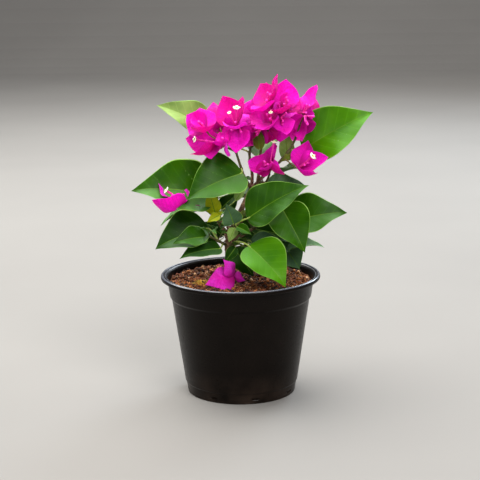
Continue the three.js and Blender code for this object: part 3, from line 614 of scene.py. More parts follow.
SHOOTS = {
    "left_leaves": sprig([tip_of("left_low_bough"), (-27, -16, 176), (-36, -20, 182), (-46, -21, 186)], [
        (0.3, (-24, -2, 191), -166, 7, 79, 57, 52),
        (0.1, (-23, -16, 176), -147, 73, 25, 15, 80, 2),
        (0, (-16, 1, 176), 8, 46, 22, 17, 70, 0),
        (0, (-19, -21, 175), -154, -22, 14, 9, 60, 2),
        (0.1, (-4, -11, 187), 14, 48, 18, 9, 62, 4, -20),
        (0.1, (-18, -6, 178), 14, 40, 21, 14, 60, 0, -10),
        (0.1, (-23, -20, 173), 8, 37, 9, 5, 60, 2),
    ], [
        (1, (-50, -27, 188), 31, [(-160, 12, 1.08, 58, 2.2), (154, 35, 1.11, 52), (57, -7, 0.75, 58)],
         [(-164, 35, 23, 3.2), (-156, 31, 17, 1.3)], (-150, 40)),
        (1, (-53, -20, 190), 18, [(68, 33, 1, 10), (129, 34, 1, 8), (-108, 0, 1, 6)], [], (-100, 50)),
    ]),
    "low_left_leaves": sprig([(-11, -2, 141), (-21, -12, 149), (-28, -19, 154)], [
        (0.6, (-30, -10, 161), -164, -17, 54, 43, 46, 0),
        (1, (-31, -23, 155), -156, -4, 34, 22, 48),
        (0.3, (-18, -15, 142), -153, -5, 43, 26, 38, 0),
        (0.6, (-25, -12, 148), -172, 2, 18, 9, 20, 0),
        (0.5, (-16, 3, 150), 165, 34, 24, 16, 60, 0),
    ]),
    "front_leaves": sprig([(-8, -5, 159), (-6, -13, 162), (-4, -16, 165)], [
        (1, (7, -23, 172), -16, 31, 67, 40, 54),
        (0.9, (-3, -21, 164), -36, -18, 18, 10, 50),
        (0.6, (-6, -18, 166), -136, 66, 22, 20, 66, 9),
        (0.5, (-5, -17, 162), -134, -56, 15, 10, 70, 4),
    ]),
    "low_front_leaves": sprig([(-10, -3, 140), (-8, -11, 145), (-5, -14, 148)], [
        (1, (8, -27, 147), -38, -37, 54, 44, 62, 5, 20),
        (0.2, (-5, -8, 140), -22, -54, 31, 23, 74, 0),
        (0.5, (-4, -9, 142), -151, -48, 19, 11, 70, 0),
    ]),
    "right_leaves": sprig([tip_of("right_low_bough"), (22, -2, 166), (32, 1, 171)], [
        (0.8, (38, -5, 181), -48, -50, 52, 40, 62),
        (1, (43, 9, 161), -4, 11, 60, 43, 52),
        (0, (17, 3, 156), -7, -16, 38, 30, 42, 0),
        (0.1, (10, 9, 161), -2, -26, 32, 18, 66, 0),
    ]),
    "low_right_leaves": sprig([(-8, -1, 139), (8, -5, 142), (24, 0, 141)], [
        (0.3, (8, -12, 146), -9, -9, 40, 24, 44, 9),
        (1, (40, 8, 141), -14, -54, 30, 27, 60, 9),
        (1, (44, 0, 136), -7, 9, 36, 25, 12, 9),
        (0.4, (12, 6, 136), 28, -6, 46, 32, 34, 0),
        (0.3, (-5, 8, 147), 12, 24, 35, 23, 68, 0),
    ]),
    "left_crown": sprig([tip_of("left_high_bough"), (0, -6, 222), (-3, -8, 232)], [
        (0.2, (3, -15, 214), -153, -18, 61, 49, 50),
        (1, (-26, 22, 250), 178, 25, 57, 31, 52, 4),
    ], [
        (1, (-30, -24, 255), 28, [(142, 28, 1, -14), (109, 45, 1, 23), (-109, 17, 0.9, -13)],
         [(-117, 34, 19, 1.2)], (-115, 30)),
        (1, (-21, -19, 243), 30, [(163, 6, 1.03, 19), (-148, -13, 1, 44, 1.5), (-103, -25, 0.85, -18)],
         [(-149, 12, 24, 2.6), (-131, 13, 16, 1.1)], (-140, 10)),
        (1, (-3, -8, 257), 31, [(135, 56, 1.05, -37), (72, 58, 1, -61), (-94, 10, 0.85, 13)],
         [(-84, 66, 20, 3.2), (-121, 50, 18, 1.7)], (-85, 45)),
        (1, (0, -17, 257), 27, [(-101, -52, 1, 5), (57, -47, 0.84, -12), (136, -21, 1, 8)],
         [(-120, -4, 15, 1.2)], (-95, 15)),
        (0.9, (-12, -27, 242), 17, [(-140, 18, 1, 74), (122, 38, 1, 4), (-84, -24, 1, -103)],
         [(-114, 41, 12, 1.3)], (-110, 35)),
        (1, (-18, 12, 252), 29, [(112, 50), (66, 20), (160, 5)], [(110, 20, 18, 3)]),
    ]),
    "top_crown": sprig([tip_of("top_bough"), (22, -4, 243), (28, -4, 254)], [
        (0.8, (19, -5, 234), 170, 84, 24, 11, 80, 3),
    ], [
        (1, (28, -2, 275), 28, [(115, 43, 1, -37), (61, 64, 1.14, -63), (-119, 2, 1, 37)],
         [(-98, 54, 17, 1.2)], (-95, 50)),
        (1, (30, -14, 261), 28, [(71, 40, 1, -57), (140, 11, 1, -16), (-109, -4, 1, 34)],
         [(-97, 52, 13, 1.8)], (-96, 40)),
        (1, (42, 2, 270), 31, [(77, 66, 1, -1), (47, 32, 0.8, 15), (-107, 11, 0.9, 43)], [], (-70, 50)),
        (0.8, (23, -12, 257), 27, [(132, -47, 1, -17), (78, -49, 1, -47), (126, 6, 0.9, 46)],
         [], (-130, -10)),
        (0.9, (39, -8, 264), 27, [(94, -68, 1, 11), (-77, -30, 0.9, -2), (72, 34, 0.9, -13)], [], (-80, 0)),
        (1, (32, 12, 270), 29, [(110, 50), (75, 5), (150, 0)], [(100, 20, 18, 3)]),
        (0.9, (22, 9, 254), 28, [(165, 20), (75, -5), (-160, -40)]),
    ]),
    "right_crown": sprig([tip_of("right_high_bough"), (46, 4, 230), (54, 4, 246), (57, 3, 256)], [
        (0.3, (60, 13, 231), -4, 29, 75, 50, 62, 5),
        (0.1, (46, 15, 220), 125, 80, 31, 15, 70, 4),
        (0.3, (54, 5, 229), -165, -26, 17, 9, 60, 3),
    ], [
        (1, (60, 4, 267), 29, [(43, 57, 1.07, -62), (44, 21, 0.5, 22), (-101, -58, 1, 76)], [], (-70, 35)),
        (0.95, (61, -4, 265), 24, [(83, -57, 1, 22), (40, 5, 0.56, -8), (139, -47, 1, 32)],
         [(-73, -39, 12, 1.2)], (-70, -5)),
        (0.1, (56, -11, 218), 28, [(56, 60, 1, -70), (-19, 23, 1.05, -34), (-61, 1, 1, 1, 1.6)],
         [(-39, 37, 20, 3.4)], (-50, 25)),
        (0.9, (64, 18, 260), 28, [(70, 40), (112, 5), (80, -42)], [(80, 10, 17, 3)]),
    ]),
    "small_blossom": sprig([(18, 1, 203), (24, -7, 203), (28, -14, 212)], [
        (0.1, (25, 8, 190), 14, 8, 41, 30, 40, 9),
    ], [
        (1, (28, -18, 220), 26, [(76, 55, 1, -57), (144, 8, 1, -20), (-51, -7, 0.85, -63)],
         [(-52, 75, 25, 2.6), (-120, 31, 13, 1.3)], (-90, 55)),
        (1, (29, -22, 220), 17, [(-127, 6, 1, 38), (157, -16, 1, -38), (63, 10, 1, 53)], [], (-110, 45)),
    ]),
    "back_crown": sprig([tip_of("back_high_bough"), (10, 24, 228), (14, 25, 240)], [
        (0.1, (17, 30, 222), 62, 16, 52, 34, 40, 1, 152),
        (0.4, (2, 32, 229), 128, 4, 50, 33, 44, 1, 218),
    ], [
        (1, (-14, 36, 238), 28, [(165, 30), (75, 35), (120, -30)], [(118, 20, 19, 3)]),
        (1, (8, 30, 252), 28, [(148, 50), (65, 60), (95, -10)], [(95, 35, 18, 2.8)]),
        (0.6, (47, 32, 247), 29, [(140, 38), (70, 50), (50, -25)], [(75, 25, 19, 3)]),
    ]),
    "back_left_leaves": sprig([tip_of("back_left_bough"), (-22, 36, 170), (-22, 42, 186)],
                              rule=Rule(60, (-24, 42, 166), (66, 62, 52))),
    "back_right_leaves": sprig([tip_of("back_right_bough"), (18, 32, 180), (24, 38, 196)],
                               rule=Rule(0, (34, 42, 170), (70, 64, 52))),
}


def aim(heading, rise):
    """Unit vector of a heading and a rise."""
    h, r = np.radians(heading), np.radians(rise)
    return np.stack([np.cos(h) * np.cos(r), np.sin(h) * np.cos(r), np.sin(r)], axis=-1)


def outline(s, near, far):
    """Share of the full width at share s of the length: it follows s^near times (1 - s)^far."""
    widest = near / (near + far)
    return s**near * (1 - s) ** far / (widest**near * (1 - widest) ** far)


def blade_axes(along, facing):
    """A blade's across and normal directions: the normal is the facing made square to its length."""
    normal = unit(facing - along * (facing * along).sum(-1, keepdims=True))
    return np.cross(along, normal), normal


def leaf_axes(row):
    """A leaf's directions along, across and square to its blade."""
    along = aim(row.heading, row.rise)
    return along, *blade_axes(along, aim(row.turn - 90, 90 - row.tilt))


def leaf_samples(row):
    """Points spread over a leaf's plain folded blade, used to keep blades apart."""
    along, across, normal = leaf_axes(row)
    s, u = np.meshgrid(np.linspace(0, 1, 11), np.linspace(-1, 1, 7), indexing="ij")
    half = 0.5 * row.width * outline(s, 0.6, 1.1) * u
    lift = row.length * 0.07 * np.sin(np.pi * s) + np.abs(half) * math.tan(math.radians(SAMPLE_FOLD))
    points = (np.array(row.foot) + row.length * s[..., None] * along + half[..., None] * across
              + lift[..., None] * normal)
    return points.reshape(-1, 3)


def is_clear(points, taken, gap=BLADE_GAP):
    """True where every point lies more than the gap from all that is taken, and well above the mix."""
    gaps = np.linalg.norm(points[:, None] - taken[None], axis=-1)
    return gaps.min() > gap and points[:, 2].min() > MIX_LEVEL / MM + MIX_GAP


def grow_leaves(shoot, taken):
    """Adds leaves by the rule: each turns by the golden angle and sits further along the shoot, and one
    that would leave the shoot's space or come near another is skipped. Gives what is then taken."""
    for k in range(RULE_TRIES):
        if len(shoot.leaves) == RULE_LEAVES:
            break
        at = (k * GOLDEN_SHARE) % 1 * 0.9 + 0.1
        heading = shoot.rule.first + k * GOLDEN
        size = RULE_LENGTH * (0.8 + 0.2 * math.sin(1.7 * k))
        rise = 30 * at - 12 + 8 * math.sin(2.3 * k)
        foot = curve(shoot.stem, [at])[0] + RULE_STALK * aim(heading, rise + 12)
        row = Leaf(at, tuple(foot), heading, rise - 8, size, size * 0.66, RULE_TILT, k % 2, heading + 90)
        points = leaf_samples(row)
        within = (((points - shoot.rule.centre) / shoot.rule.radii) ** 2).sum(axis=1).max() < 1
        if within and is_clear(points, taken):
            shoot.leaves.append(row)
            taken = np.vstack([taken, points])
    return taken


taken = np.vstack([leaf_samples(row) for shoot in SHOOTS.values() for row in shoot.leaves])
for shoot in SHOOTS.values():
    if shoot.rule:
        taken = grow_leaves(shoot, taken)

leaf_rows = [row for shoot in SHOOTS.values() for row in shoot.leaves]
triplet_rows = [row for shoot in SHOOTS.values() for row in shoot.blossom]


def triplet_middle(row):
    """The way that a triplet faces: the one given, or else the middle of its bracts' ways."""
    if row.face:
        return aim(*row.face)
    return unit(aim(*np.array([way[:2] for way in row.ways]).T).sum(axis=0))


def stalk_skins(starts, ends, arrive, radius, sides):
    """Stalks as cubic curves: they leave upwards and outwards, and arrive along a given direction."""
    reach = np.linalg.norm(ends - starts, axis=1, keepdims=True)
    p1 = starts + 0.3 * (ends - starts) + reach * [0, 0, 0.12]
    p2 = ends - 0.35 * reach * arrive
    t = shares(radius.shape[1])
    paths = ((1 - t) ** 3 * starts[:, None] + 3 * t * (1 - t) ** 2 * p1[:, None]
             + 3 * t**2 * (1 - t) * p2[:, None] + t**3 * ends[:, None])
    return tubes(paths * MM, radius * np.ones((len(ends), 1, sides)) * MM)


def axil_sprouts():
    """Side twigs in the axils of the leafy shoots: each turns by the golden angle from its leaf and ends
    in a pair of tiny leaves. One that would come near a blade is skipped. Gives starts, ends, leaf rows."""
    draw = np.random.default_rng(17)
    starts, ends, rows = [], [], []
    near = taken
    for shoot in SHOOTS.values():
        for k, row in enumerate([] if shoot.blossom else shoot.leaves):
            start = curve(shoot.stem, [row.at])[0]
            for j in range(4):
                heading = row.heading + (k + 1 + j) * GOLDEN
                end = start + draw.uniform(7, 14) * aim(heading, draw.uniform(15, 60))
                pair = [Leaf(1, tuple(end), heading + side, draw.uniform(-10, 40), size, 0.62 * size, 30,
                             draw.choice([0, 1, 3, 5]), heading + side + 90)
                        for side, size in zip((-40, 55), draw.uniform(7.5, 13, 2))]
                points = np.vstack([leaf_samples(one) for one in pair])
                if is_clear(points, near, SPROUT_GAP):
                    starts, ends, rows = [*starts, start], [*ends, end], [*rows, *pair]
                    near = np.vstack([near, points])
                    break
    return np.array(starts), np.array(ends), rows


def shoot_skins():
    """Green stems of all shoots, with a swelling at each leaf."""
    t = np.linspace(0, 1, 40)
    skins = []
    for shoot in SHOOTS.values():
        swell = sum(0.35 * np.exp(-(((t - row.at) / 0.05) ** 2)) for row in shoot.leaves)
        skins.append(limb(shoot.stem, (1.35 - 0.35 * t + swell)[:, None] * np.ones(14)))
    return together(skins)


def stalk_feet(kind):
    """Where the stalks of all leaves, or of all blossom, leave their shoots."""
    return np.vstack([curve(shoot.stem, [row.at])
                      for shoot in SHOOTS.values() for row in getattr(shoot, kind)])


def leaf_stalks():
    """Stalks of all leaves, from their share of the shoot to just inside the blade's foot."""
    along = np.array([aim(row.heading, row.rise) for row in leaf_rows])
    length = np.array([[row.length] for row in leaf_rows])
    ends = np.array([row.foot for row in leaf_rows]) + 0.05 * length * along
    radius = (0.95 - 0.3 * shares(14)) * np.clip(length[..., None] / 50, 0.5, 1.1)
    return stalk_skins(stalk_feet("leaves"), ends, along, radius, 10)


def flower_stalks():
    """Stalks of all triplets, thin, swelling a little at the heart."""
    arrive = 0.6 * np.array([triplet_middle(row) for row in triplet_rows]) + [0, 0, 0.4]
    hearts = np.array([row.heart for row in triplet_rows])
    return stalk_skins(stalk_feet("blossom"), hearts, arrive, 0.62 + 0.35 * shares(14) ** 6, 10)


def sprout_twigs():
    """Thin tapering twigs of the sprouts, with a bud's swelling at the end."""
    t = shares(9)
    radius = 0.62 - 0.28 * t + 0.22 * t**8
    return stalk_skins(sprout_starts, sprout_ends, unit(sprout_ends - sprout_starts), radius, 8)


sprout_starts, sprout_ends, sprout_rows = axil_sprouts()
stem_parts = shoot_skins(), leaf_stalks(), flower_stalks(), sprout_twigs()
stem_numbers = np.repeat([0, 1, 2, 0], [len(faces) for _, faces in stem_parts])
twigs = grainy_piece(
    "green_shoots", (*together(stem_parts), stem_numbers),
    ("shoot_green", (0.045, 0.042, 0.014), (0.12, 0.11, 0.035), 900, 0.6),
    ("leaf_stalk_green", (0.2, 0.3, 0.045), (0.36, 0.46, 0.09), 600, 0.5),
    ("flower_stalk_red", (0.1, 0.075, 0.026), (0.2, 0.15, 0.05), 600, 0.55))
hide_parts(*SHOOTS)


# Leaves
# Smooth pointed ovals, each half folded up from the midrib: dark glossy green above with sunken veins,
# paler and duller below with raised ones.

Shape = namedtuple("Shape", "near far fold soft bow thick rib veins slant groove quilt wave waves tip_curl")
LEAF_SHAPE = Shape(near=0.6, far=1.2, fold=24, soft=0.03, bow=0.07, thick=0.28, rib=0.42, veins=6.5,
                   slant=0.95, groove=0.006, quilt=0.008, wave=0.036, waves=2.1, tip_curl=0.05)
TINY_SHAPE = LEAF_SHAPE._replace(thick=0.16, rib=0.2)
# The pale rim along each leaf's edge is a painted highlight.
RIM = 0.965  # where the pale rim starts, as a share of the half width
UPPER, MIDRIB, UNDERSIDE, EDGE = range(4)
SIDE_GREENS = 6, 7, 8  # the places of leaf_rib, leaf_under and leaf_rim_highlight in the list of greens


def blade_skins(blades, shape, stations=36, columns=19):
    """Closed skins of thin blades: rings of points round each blade, at shares s from foot to tip and u
    from edge to edge. Across, the half width follows the outline. Off its plane, the blade bows as a half
    sine, rises on both sides of the midrib by the fold, which a larger soft share rounds into a cup, sinks
    along the midrib and the veins, puffs up between veins, waves along its edges and curls back at its tip.
    The underside lies the thickness lower, with a round rib under the midrib. Gives points, faces, flat
    map, and each face's side of the blade."""
    foot, along, across, normal = blades[:4]
    length, width, bow, phase, rough = (value[:, None, None] for value in blades[4:])
    s = (0.5 - 0.5 * np.cos(np.pi * np.linspace(0, 1, stations + 2)[1:-1]))[None, :, None]
    top_u = np.linspace(-1, 1, columns)
    top_u[[1, -2]] = -RIM, RIM
    u = np.concatenate([top_u, top_u[-2:0:-1]])[None, None]
    count, sides = len(foot), u.shape[-1]
    under = np.arange(sides)[None, None] >= columns
    half = 0.5 * width * outline(s, shape.near, shape.far)
    near_rib = np.abs(np.abs(u) - 2 / (columns - 1)) < 1e-6
    y = np.where(near_rib, np.sign(u) * np.minimum(shape.rib * (1.15 - s), 0.1 * half), u * half)
    w = np.abs(y) / length
    soft = shape.soft * length
    fold = math.tan(math.radians(shape.fold)) * (np.sqrt(y**2 + soft**2) - soft)
    vein = (s - shape.slant * w - 0.5 * w**2 + 0.012 * np.sign(y)) * shape.veins
    off_vein = np.abs(vein - np.round(vein)) * 2
    body = np.clip(8 * w, 0, 1) * np.clip(1.6 * (1 - np.abs(u)), 0, 1)
    puff = shape.quilt * body * (0.5 - np.exp(-((off_vein / 0.35) ** 2)))
    groove = shape.groove * np.exp(-((w / 0.012) ** 2)) * (1 - s) * ~under
    ripple = np.sin(2 * np.pi * (shape.waves * s + phase) + 1.4 * np.sign(u))
    wave = shape.wave * rough * u**2 * np.sin(np.pi * s) * ripple
    curl = shape.tip_curl * np.clip((s - 0.78) / 0.22, 0, 1) ** 2
    thick = shape.thick * (0.5 + 0.5 * np.sqrt(np.clip(1 - u**2, 0, 1)))
    swell = 1.5 * shape.rib * (1.1 - s) * np.exp(-((y / (1.3 * shape.rib)) ** 2))
    lift = length * (shape.bow * bow * np.sin(np.pi * s) + puff - groove + wave - curl)
    lift = lift + fold - under * (thick + swell)
    ring = (foot[:, None, None] + (length * s)[..., None] * along[:, None, None]
            + y[..., None] * across[:, None, None] + lift[..., None] * normal[:, None, None])
    tip = foot + blades[4][:, None] * (along - shape.tip_curl * normal)
    points, faces = closed_skins(foot, ring, tip)
    flat_map = strung(np.tile([0.5, 0.0], (count, 1)), np.stack([0.5 + y / length, s + 0 * y], axis=-1),
                      np.tile([0.5, 1.0], (count, 1)))
    kind = np.where(np.arange(sides) >= columns - 1, UNDERSIDE, UPPER)
    kind[[columns // 2 - 1, columns // 2]] = MIDRIB
    # Faces at the edges take the rim's finish, a painted highlight.
    kind[[0, columns - 2, columns - 1, -1]] = EDGE
    return points * MM, faces, flat_map, np.tile(kind, count * (stations + 1))


def leaf_table(rows, seed):
    """Leaves as arrays: foot, three directions, length, width, bow, and random phases and depths of waves."""
    draw = np.random.default_rng(seed)
    n = len(rows)
    foot, length, width = (np.array([getattr(row, key) for row in rows], float)
                           for key in ("foot", "length", "width"))
    axes = (np.array(ways) for ways in zip(*map(leaf_axes, rows)))
    return foot, *axes, length, width, np.ones(n), draw.uniform(0, 1, n), draw.uniform(0.5, 1.2, n)


def vein_group():
    """Veins on a blade, read off its flat map (across share + 0.5, share of length): side veins slant
    forward from the midrib at even steps, and a fine net lies between them."""
    tree, given, result = new_group("blade_veins", {"Count": 6.5, "Slant": 0.95, "Net Scale": 26},
                                    ["Side Veins", "Net"])
    flat = node(tree, "UVMap", {}, uv_map="surface")[0]
    away = calc(tree, "ABSOLUTE", calc(tree, "SUBTRACT", part_of(tree, flat, "X"), 0.5))
    forward = calc(tree, "SUBTRACT", part_of(tree, flat, "Y"), calc(tree, "MULTIPLY", away, given["Slant"]))
    steps = calc(tree, "ADD", calc(tree, "MULTIPLY", forward, given["Count"]), 0.5)
    off = calc(tree, "SUBTRACT", calc(tree, "FLOORED_MODULO", steps, 1.0), 0.5)
    line = mapped(tree, calc(tree, "ABSOLUTE", off), 0.09, 0.02, smooth=True)
    cells = node(tree, "TexVoronoi", {"Vector": flat, "Scale": given["Net Scale"]},
                 feature="DISTANCE_TO_EDGE")
    tree.links.new(line, result["Side Veins"])
    tree.links.new(mapped(tree, cells["Distance"], 0.08, 0.0), result["Net"])
    return tree


VEINS = vein_group()


def blade_lines(tree, shape, net_scale):
    """The vein group in a material, set to a blade's shape."""
    sockets = {"Count": shape.veins, "Slant": shape.slant, "Net Scale": net_scale}
    return node(tree, "Group", sockets, node_tree=VEINS)


def glowing(finish, colour, share):
    """A finish with a share of a Translucent shader, so that a thin blade glows when lit from behind."""
    tree = finish.node_tree
    glow = node(tree, "BsdfTranslucent", {"Color": (*colour, 1)})[0]
    both = node(tree, "MixShader", {0: share, 1: tree.nodes["Principled BSDF"].outputs[0], 2: glow})[0]
    tree.links.new(both, tree.nodes["Material Output"].inputs["Surface"])
    return finish


def leaf_finish(name, deep, fresh, glow, roughness, veins=0.2):
    """Leaf surface: patches of two greens, lighter veins, a painted pale sheen where it looks up, gloss that
    varies a little, and a glow against the light."""
    finish, tree = new_finish(name, Specular_IOR_Level=0.11)
    lines = blade_lines(tree, LEAF_SHAPE, 30)
    green = ramp(tree, patches(tree, 55, 4), [(0.1, deep), (0.95, fresh)])
    vein = np.clip(np.array(fresh) * 1.7 + 0.01, 0, 1)
    veined = mixed(tree, calc(tree, "MULTIPLY", lines["Side Veins"], veins), green, vein)
    # Painted sheen: faces that look up are mixed towards a pale green, as if lit from above.
    facing_up = part_of(tree, node(tree, "TexCoord", {})["Normal"], "Z")
    painted_sheen = mapped(tree, facing_up, 0.55, 0.95, 0, 0.72, smooth=True)
    height = calc(tree, "ADD", lines["Net"], lines["Side Veins"])
    wired(finish, Base_Color=mixed(tree, painted_sheen, veined, np.array(fresh) * 1.2 + (0.05, 0.1, 0.045)),
          Roughness=mapped(tree, patches(tree, 900, 3), 0, 1, roughness - 0.05, roughness + 0.07),
          Normal=bumped(tree, height, 0.25, 0.0002, invert=True))
    return glowing(finish, glow, 0.16)


leaf_greens = [leaf_finish(*row) for row in (
    ("leaf_deep", (0.006, 0.033, 0.0002), (0.014, 0.062, 0.0004), (0.08, 0.32, 0.002), 0.36),
    ("leaf_mid", (0.013, 0.062, 0.0002), (0.031, 0.115, 0.0004), (0.11, 0.42, 0.002), 0.33),
    ("leaf_young", (0.22, 0.27, 0.004), (0.42, 0.46, 0.008), (0.5, 0.6, 0.02), 0.42),
    ("leaf_olive", (0.07, 0.1, 0.008), (0.15, 0.18, 0.02), (0.3, 0.35, 0.04), 0.5),
    # leaf_pale_sheen: a lighter grey-green standing in for light through and on a leaf, painted sheen.
    ("leaf_pale_sheen", (0.12, 0.21, 0.042), (0.24, 0.34, 0.085), (0.3, 0.48, 0.1), 0.42),
    ("leaf_fresh", (0.036, 0.15, 0.0008), (0.07, 0.225, 0.0016), (0.17, 0.52, 0.004), 0.32),
    ("leaf_rib", (0.07, 0.17, 0.006), (0.14, 0.28, 0.02), (0.2, 0.45, 0.03), 0.4, 0.0),
    ("leaf_under", (0.045, 0.12, 0.012), (0.09, 0.2, 0.03), (0.16, 0.45, 0.02), 0.55, 0.5),
    # leaf_rim_highlight: a pale green along the edges, a painted highlight.
    ("leaf_rim_highlight", (0.13, 0.29, 0.03), (0.23, 0.42, 0.07), (0.45, 0.65, 0.12), 0.45, 0.0),
    # leaf_cool_sheen: a bluish grey-green standing in for the sky's sheen on a leaf, painted sheen.
    ("leaf_cool_sheen", (0.035, 0.09, 0.04), (0.085, 0.17, 0.075), (0.12, 0.3, 0.08), 0.36),
)]


def leaf_piece(name, rows, seed, shape, *counts):
    """Blades of leaf rows: upper sides in their own greens, then rib, underside and painted rim highlight."""
    points, faces, flat_map, kinds = blade_skins(leaf_table(rows, seed), shape, *counts)
    tint = np.repeat([row.tint for row in rows], len(kinds) // len(rows))
    return new_piece(name, points, faces, leaf_greens, np.choose(kinds, [tint, *SIDE_GREENS]), flat_map)


leaves = leaf_piece("leaves", leaf_rows, 21, LEAF_SHAPE)
tiny = leaf_piece("tiny_leaves", sprout_rows, 22, TINY_SHAPE, 16, 11)
for piece in (leaves, tiny):
    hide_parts(*SHOOTS)


# Bracts
# The papery coloured leaves that make the blossom, three round each heart: thin ovals cupped round the
# florets, with a darker midrib and net, wavy edges, and tips that curl back.

BRACT_SHAPE = Shape(near=0.68, far=1.05, fold=38, soft=0.18, bow=-0.14, thick=0.22, rib=0.3, veins=7.5,
                    slant=0.8, groove=0.004, quilt=0.011, wave=0.06, waves=1.5, tip_curl=0.05)
BRACT_WIDTH = 0.88  # of its length


def bract_table(rows, seed):
    """Bracts as arrays, as for leaves; each faces as its triplet does, then turns about its midrib."""
    draw = np.random.default_rng(seed)
    ways = np.array([(*way, *(1, 0, 1)[len(way) - 2:]) for row in rows for way in row.ways], float)
    heading, rise, share, turn, bow = ways.T
    along = aim(heading, rise)
    foot, facing = (np.repeat(np.array(values, float), 3, axis=0)
                    for values in ([row.heart for row in rows], [triplet_middle(row) for row in rows]))
    across, normal = blade_axes(along, facing)
    turn = np.radians(turn)[:, None]
    normal = np.cos(turn) * normal + np.sin(turn) * across
    length = np.repeat([row.length for row in rows], 3) * share
    n = len(length)
    return (foot, along, np.cross(along, normal), normal, length, BRACT_WIDTH * length, bow,
            draw.uniform(0, 1, n), draw.uniform(0.5, 1.3, n))


def bract_finish(name, deep, bright, glow):
    """Bract surface: thin dull paper, a little crinkled, in two near magentas with a painted crimson shade at
    its foot, where the bracts crowd together, with darker veins and net, glowing against the light."""
    finish, tree = new_finish(name, Specular_IOR_Level=0.2, Sheen_Weight=0.08, Sheen_Roughness=0.4,
                              Sheen_Tint=(1.0, 0.5, 0.9, 1))
    shades = patches(tree, 90, 3)
    lines = blade_lines(tree, BRACT_SHAPE, 17)
    most = calc(tree, "MAXIMUM", lines["Side Veins"], lines["Net"])
    far = part_of(tree, node(tree, "UVMap", {}, uv_map="surface")[0], "Y")
    # Painted shade: darker crimson towards the bract's foot, where the bracts crowd round the heart.
    foot = mapped(tree, far, 0.45, 0.0, 0, 0.9, smooth=True)
    dark = calc(tree, "MAXIMUM", calc(tree, "MULTIPLY", most, 0.5), foot)
    colour = ramp(tree, shades, [(0.1, deep), (0.9, bright)])
    height = calc(tree, "ADD", most, patches(tree, 240, 5))
    wired(finish, Base_Color=mixed(tree, dark, colour, (deep[0] * 0.45, 0.0, deep[2] * 0.3)),
          Roughness=mapped(tree, shades, 0, 1, 0.5, 0.68),
          Normal=bumped(tree, height, 0.7, 0.0005, invert=True))
    return glowing(finish, glow, 0.4)


def bract_piece(name, rows, seed, shape, finishes, tints):
    """The bracts of triplets, each in its own tint, with the last finish on the midribs."""
    points, faces, flat_map, kinds = blade_skins(bract_table(rows, seed), shape, 24, 15)
    tint = np.repeat(tints, len(kinds) // len(tints))
    numbers = np.choose(kinds, [tint, len(finishes) - 1, tint, tint])
    return new_piece(name, points, faces, finishes, numbers, flat_map)


bract_magentas = [
    bract_finish("bract_deep", (0.74, 0.0, 0.34), (0.9, 0.001, 0.52), (0.98, 0.006, 0.56)),
    bract_finish("bract_mid", (0.88, 0.001, 0.52), (0.98, 0.006, 0.76), (1.0, 0.015, 0.74)),
    bract_finish("bract_light", (0.95, 0.016, 0.7), (1.0, 0.055, 0.92), (1.0, 0.045, 0.86)),
    bract_finish("bract_rib", (0.6, 0.002, 0.32), (0.8, 0.006, 0.5), (0.95, 0.02, 0.6)),
]
bract_tints = np.random.default_rng(8).choice(3, 3 * len(triplet_rows), p=[0.25, 0.5, 0.25])
bracts = bract_piece("bracts", triplet_rows, 31, BRACT_SHAPE, bract_magentas, bract_tints)
CROWNS = [name for name, shoot in SHOOTS.items() if shoot.blossom]
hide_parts(*CROWNS)


# Florets
# The true flowers, one on each bract: a slender rosy tube that opens in a small creamy star of five lobes,
# or is still shut. They stand in the middle of each triplet.

OPEN_MOUTH = 1.5  # a floret with a wider mouth is open
# Each ring's height, radius and flare when the floret is open, then its height and radius when it is shut.
FLORET_RINGS = np.array([
    (0, 0.75, 0, 0, 0.75), (0.05, 1, 0, 0.05, 1), (0.12, 1.1, 0, 0.12, 1.1), (0.25, 0.85, 0, 0.25, 0.85),
    (0.45, 0.75, 0, 0.45, 0.8), (0.7, 0.9, 0, 0.7, 1), (0.86, 1.05, 0, 0.8, 1.15), (0.95, 1.1, 0, 0.86, 1.25),
    (0.985, 1.15, 0.35, 0.9, 1.3), (1, 1.2, 1, 0.94, 1.15), (0.995, 0.75, 0.3, 0.97, 0.85),
    (0.93, 0.6, 0, 0.99, 0.5), (0.8, 0.4, 0, 1, 0.2)])
# The finish of each ring of faces, then of the two ends: 0 tube, 1 star, 2 throat, 3 bud.
OPEN_KINDS = [0] * 7 + [1] * 3 + [2] * 2 + [0, 2]
SHUT_KINDS = [0] * 6 + [3] * 6 + [0, 3]


def floret_rows():
    """Florets as rows (heart, way, length, mouth): those listed, and shut ones on the bracts left over."""
    draw = np.random.default_rng(5)
    rows = []
    for row in triplet_rows:
        rows += [(row.heart, aim(h, r), length, mouth) for h, r, length, mouth in row.florets]
        middle = triplet_middle(row)
        for way in row.ways[len(row.florets):]:
            lean = unit(0.75 * middle + 0.45 * aim(*way[:2]) + draw.normal(0, 0.06, 3))
            rows.append((row.heart, lean, row.length * draw.uniform(0.34, 0.46), 0.9))
    return rows


